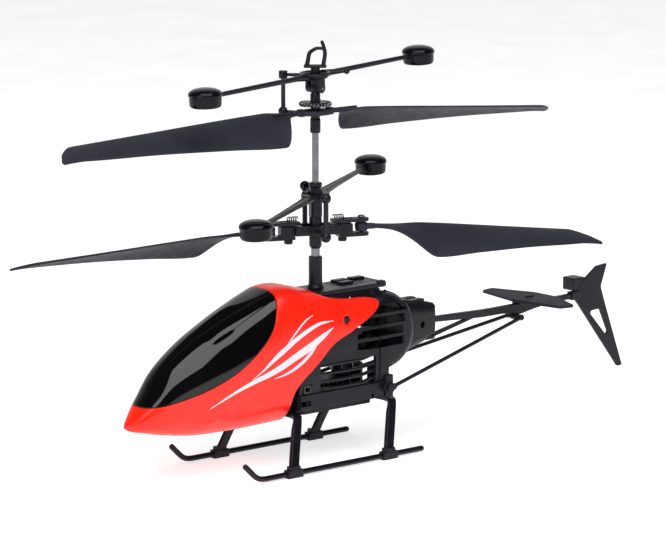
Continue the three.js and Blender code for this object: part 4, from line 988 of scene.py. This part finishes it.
LO_Z, LO_TURN = 60.3, -21.5
LO_BAR_Z, LO_BAR_TURN, LO_TILT = 69.1, 28.5, 3.3
LO_ARM_R, LO_ARM_RISE, LO_HORN, PIN_R = 8.5, 0.9, 0.8, 12.6
on_lower = head(LO_Z, LO_TURN)
on_lower_bar = head(LO_BAR_Z, LO_BAR_TURN, LO_TILT)


def lower_hub():
    lift = LO_BAR_Z - LO_Z
    body = spun([(0, -5.0), (1.25, -5.0), (1.65, -4.3), (1.65, 3.0), (1.5, 3.4), (1.5, 11.0), (1.75, 11.3),
                 (1.75, 12.3), (0, 12.3)], 0.2, 48)
    across = polar(1, LO_BAR_TURN - LO_TURN + 90)
    flats = [spin(box(1.1, 1.52, -1.1, 1.1, 3.3, 10.4, 0.15), t) for t in (0, 90, 180, 270)]
    pins = [pin_x(0.55, *sorted((s * 1.2, s * 5.2))) for s in (1, -1)]
    stubs = [rod(across * (s * 1.2) + Vector((0, 0, lift)), across * (s * 3.0) + Vector((0, 0, lift)), 0.5)
             for s in (1, -1)]
    body = join(body, *flats, *pins, *stubs)
    notch = [box(-0.25, 0.25, s * 1.75 - 0.4, s * 1.75 + 0.4, 11.2, 13, 0) for s in (1, -1)]
    return cut(body, post(1.02, -6, 14, soften=0), post(1.18, -6, -3.1, soften=0), *notch)


piece("lower_hub_moulding", lower_hub(), "lower_head", PLASTIC, "lower_hub", place=on_lower)


def strap(x0, x1, half, steps=16):
    arc = [(x1 - half + half * math.cos(rad(a)), half * math.sin(rad(a))) for a in spaced(-90, 90, steps)]
    return [(x0, -half), *arc, (x0, half)]


def lower_yoke():
    centre = cut(box(-6.2, 6.2, -3.1, 3.1, -1.2, 1.2, 0.25), box(-4.0, 4.0, -2.2, 2.2, -2, 2, 0.2))
    end = join(box(6.0, 9.8, -1.8, 1.8, -2.3, 1.2, 0.3), plate(strap(6.0, 14.6, 1.8), -2.3, -1.3, 0.2),
               post(1.15, -3.5, -2.2, 7.4, soften=0.3), box(6.4, 9.3, -1.5, 1.5, 1.0, 1.45, 0.15))
    horns = []
    for s in (1, -1):
        tip = Vector((0, s * LO_ARM_R, -LO_HORN))
        horns += [rod((0, s * 2.8, -0.2), tip, 0.5, 0.42, sides=16), ball(0.65, tip, 20)]
    holes = [post(0.55, -4, 4, s * PIN_R, soften=0) for s in (1, -1)]
    return cut(join(centre, end, spin(end, 180), *horns), pin_x(0.62, -5.6, 5.6, soften=0), *holes)


piece("lower_yoke_moulding", lower_yoke(), "lower_yoke", PLASTIC, "lower_yoke", place=on_lower)


def grip_spring():
    turns, per = 5, 14
    path = []
    for i in range(turns * per + 1):
        angle = 2 * math.pi * i / per
        path.append((4.9 + 2.9 * i / (turns * per), 0.5 * math.cos(angle), 3.07 + 0.5 * math.sin(angle)))
    return sweep(path, 0.16, 8)


def lower_blade():
    body = join(plate(strap(-1.2, 4.2, 1.6), -0.55, 0.6, 0.15), post(1.6, -1.0, 1.1, soften=0.2),
                blade(2.8, 79.5 - PIN_R, 17.5, 5.7, -1))
    return cut(body, post(0.6, -2, 2, soften=0))


for tag, turn, fold in (("a", 0, -3.5), ("b", 180, 3.5)):
    side = head(LO_Z, LO_TURN + turn)
    at_pin = side @ Matrix.Translation((PIN_R, 0, 0))
    cap = cut(plate(strap(4.6, 14.6, 1.8), 1.5, 2.4, 0.22), post(0.55, 0, 4, PIN_R, soften=0),
              plate(rounded([(6.8, -0.9), (10.2, -0.9), (10.2, 0.9), (6.8, 0.9)], 0.5, 4), 2.15, 3, 0))
    pin = join(post(0.5, -2.5, 2.7), spun([(0, 2.5), (0.95, 2.5), (0.95, 2.85), (0.6, 3.1), (0, 3.1)], 0.12))
    piece(f"grip_plate_{tag}", cap, "lower_yoke", PLASTIC, f"grip_cap_{tag}", place=side)
    piece(f"grip_coil_{tag}", grip_spring(), "lower_yoke", "steel", f"grip_spring_{tag}", place=side, sharp=80)
    piece(f"blade_pin_{tag}_turned", pin, "lower_yoke", "steel", f"blade_pin_{tag}", place=at_pin)
    piece(f"lower_blade_{tag}_moulding", lower_blade(), f"lower_blade_{tag}", "blade_plastic", f"lower_blade_{tag}",
          place=at_pin @ Matrix.Rotation(rad(fold), 4, "Z"))


def lower_flybar():
    hub = cut(plate(oval(4.6, 3.6, 64), -0.6, 0.6, 0.25), plate(oval(2.35, 1.95, 48), -2, 2, 0))
    parts = []
    for turn in (0, 180):
        arm = rounded([(3.6, -1.6), (7, -1.5), (14, -1.0), (BAR_END - 3.5, -0.55), (BAR_END, -0.45), (BAR_END, 0.45),
                       (BAR_END - 3.5, 0.55), (14, 1.0), (7, 1.5), (3.6, 1.6)], 1.0, 3)
        bosses = box(-0.95, 0.95, 1.95, 3.5, -0.95, 0.95, 0.2)
        rib = [rod((3.9, y, 0.42), (BAR_END - 6, y * 0.3, 0.36), 0.2, 0.12, sides=10) for y in (1.05, -1.05)]
        parts += [spin(m, turn) for m in (plate(arm, -0.45, 0.45, 0.15), bosses, *rib)]
        bearing = LO_TURN + 90 - LO_BAR_TURN + turn
        tip = polar(LO_ARM_R, bearing, LO_ARM_RISE)
        parts += [rod(polar(3.4, bearing), tip, 0.55, 0.36, sides=16), ball(0.65, tip, 20)]
    return cut(join(hub, *parts), pin_y(0.57, -3.1, 3.1, 0, 0, soften=0))


piece("lower_flybar_moulding", lower_flybar(), "lower_flybar", PLASTIC, "lower_flybar", place=on_lower_bar)
for tag, x, turn in (("a", BAR_R, 0), ("b", -BAR_R, 180)):
    piece(f"lower_weight_{tag}_turned", weight(x), "lower_flybar", "gloss_black", f"lower_weight_{tag}",
          place=on_lower_bar)
    bearing = LO_TURN + 90 - LO_BAR_TURN + turn
    place, top_z = rod_place(LO_BAR_Z, LO_BAR_TURN, LO_TILT, bearing, LO_ARM_R, LO_ARM_RISE)
    piece(f"lower_pushrod_{tag}_moulding", cup_rod(top_z - LO_Z + LO_HORN, 0.66, "round", 1.0),
          f"lower_pushrod_{tag}", PLASTIC, f"lower_pushrod_{tag}", place=place)

# ---------------------------------------------------------------- shafts and switch

piece("rotor_shaft", post(0.87, 16.4, 89.0, sides=48), "upper_head", "steel", "inner_shaft")
piece("rotor_tube", collar(1.15, 0.95, 31.2, 57.0, 0.04, 48), "lower_head", "steel", "outer_shaft")


def switch_knob():
    knob = box(9.8, 10.8, 6.8, 9.2, 16.5, 17.5, 0.15)
    ribs = [box(x - 0.08, x + 0.08, 9.05, 9.5, 16.4, 17.6, 0) for x in (10.05, 10.3, 10.55)]
    return cut(join(knob, box(9.0, 11.6, 6.4, 7.1, 15.9, 18.1, 0.12)), *ribs)


piece("switch_slider", switch_knob(), "power_switch", PLASTIC, "power_switch")

# ---------------------------------------------------------------- carried-over nodes

slots = {s["node"]: s["material_slot"] for s in frame["record"]["subparts"]}
for name, node in frame["nodes"].items():
    if not node.hide_render:
        for material_slot in node.material_slots:
            material_slot.material = CAN if name.startswith("motor_") else BY_SLOT[slots[name]]

# ---------------------------------------------------------------- floor, light and camera


FLOOR_GLOW = 0.9                  # lifts the far end of the floor to the tone of the near end


def pale_floor():
    bm = bmesh.new()
    bmesh.ops.create_grid(bm, x_segments=2, y_segments=2, size=12.0)
    mesh = bpy.data.meshes.new("floor")
    bm.to_mesh(mesh)
    bm.free()
    floor = bpy.data.objects.new("floor", mesh)
    floor.location.z = -GROUND * MM - 0.00005
    bpy.context.scene.collection.objects.link(floor)
    material, nodes, links, shader = graph("floor_paper")
    tone = mix(nodes, links, span(nodes, links, noise(nodes, links, 30.0), 0.0, 1.0), (0.70, 0.70, 0.71), (0.74, 0.74, 0.74))
    links.new(tone, shader.inputs["Base Color"])
    shader.inputs["Roughness"].default_value = 0.9
    shader.inputs["Specular IOR Level"].default_value = 0.1
    links.new(tone, shader.inputs["Emission Color"])
    shader.inputs["Emission Strength"].default_value = FLOOR_GLOW
    mesh.materials.append(material)


def soft_light(name, place, size, power, tint=(1, 1, 1)):
    data = bpy.data.lights.new(name, "AREA")
    data.shape, data.size, data.size_y = "RECTANGLE", *size
    data.energy, data.color = power, tint
    light = bpy.data.objects.new(name, data)
    light.location = place
    light.rotation_mode = "QUATERNION"
    light.rotation_quaternion = Vector(place).to_track_quat("Z", "Y")
    bpy.context.scene.collection.objects.link(light)


pale_floor()
soft_light("overhead", (0.3, 0.5, 1.0), (1.2, 1.2), 17.0)
soft_light("side", (1.1, 0.25, 0.35), (0.5, 0.5), 3.0, (0.97, 0.98, 1.0))
bpy.context.scene.view_settings.view_transform = "Standard"

AZIMUTH, ELEVATION, DISTANCE = rad(139.5), rad(10.5), 1.0
target = Vector((-6.0, 0.0, 47.2 - GROUND)) * MM
away = Vector((math.sin(AZIMUTH) * math.cos(ELEVATION), -math.cos(AZIMUTH) * math.cos(ELEVATION),
               math.sin(ELEVATION)))


def studio_sky(toward_camera):
    """White studio walls behind the object, fading to a dim wall behind the camera."""
    world = bpy.data.worlds.new("studio")
    world.use_nodes = True
    nodes, links = world.node_tree.nodes, world.node_tree.links
    facing = nodes.new("ShaderNodeVectorMath")
    facing.operation = "DOT_PRODUCT"
    facing.inputs[1].default_value = toward_camera
    links.new(nodes.new("ShaderNodeTexCoord").outputs["Generated"], facing.inputs[0])
    fall_off = nodes.new("ShaderNodeMapRange")
    fall_off.interpolation_type = "SMOOTHSTEP"
    for name, value in (("From Min", -0.95), ("From Max", -0.15), ("To Min", WALL_FAR), ("To Max", WALL_NEAR)):
        fall_off.inputs[name].default_value = value
    links.new(facing.outputs["Value"], fall_off.inputs["Value"])
    seen = nodes.new("ShaderNodeLightPath")
    strength = nodes.new("ShaderNodeMix")
    strength.inputs["B"].default_value = 1.0
    links.new(seen.outputs["Is Camera Ray"], strength.inputs["Factor"])
    links.new(fall_off.outputs["Result"], strength.inputs["A"])
    links.new(strength.outputs["Result"], nodes["Background"].inputs["Strength"])
    nodes["Background"].inputs["Color"].default_value = (1, 1, 1, 1)
    bpy.context.scene.world = world


WALL_FAR, WALL_NEAR = 0.8, 0.04
studio_sky(away)
camera = bpy.data.objects.new("camera", bpy.data.cameras.new("camera"))
camera.data.lens, camera.data.sensor_width = 207.03, 36.0
camera.data.clip_start, camera.data.clip_end = 0.01, 100.0
camera.location = target + away * DISTANCE
camera.rotation_mode = "QUATERNION"
camera.rotation_quaternion = away.to_track_quat("Z", "Y")
bpy.context.scene.collection.objects.link(camera)
bpy.context.scene.camera = camera
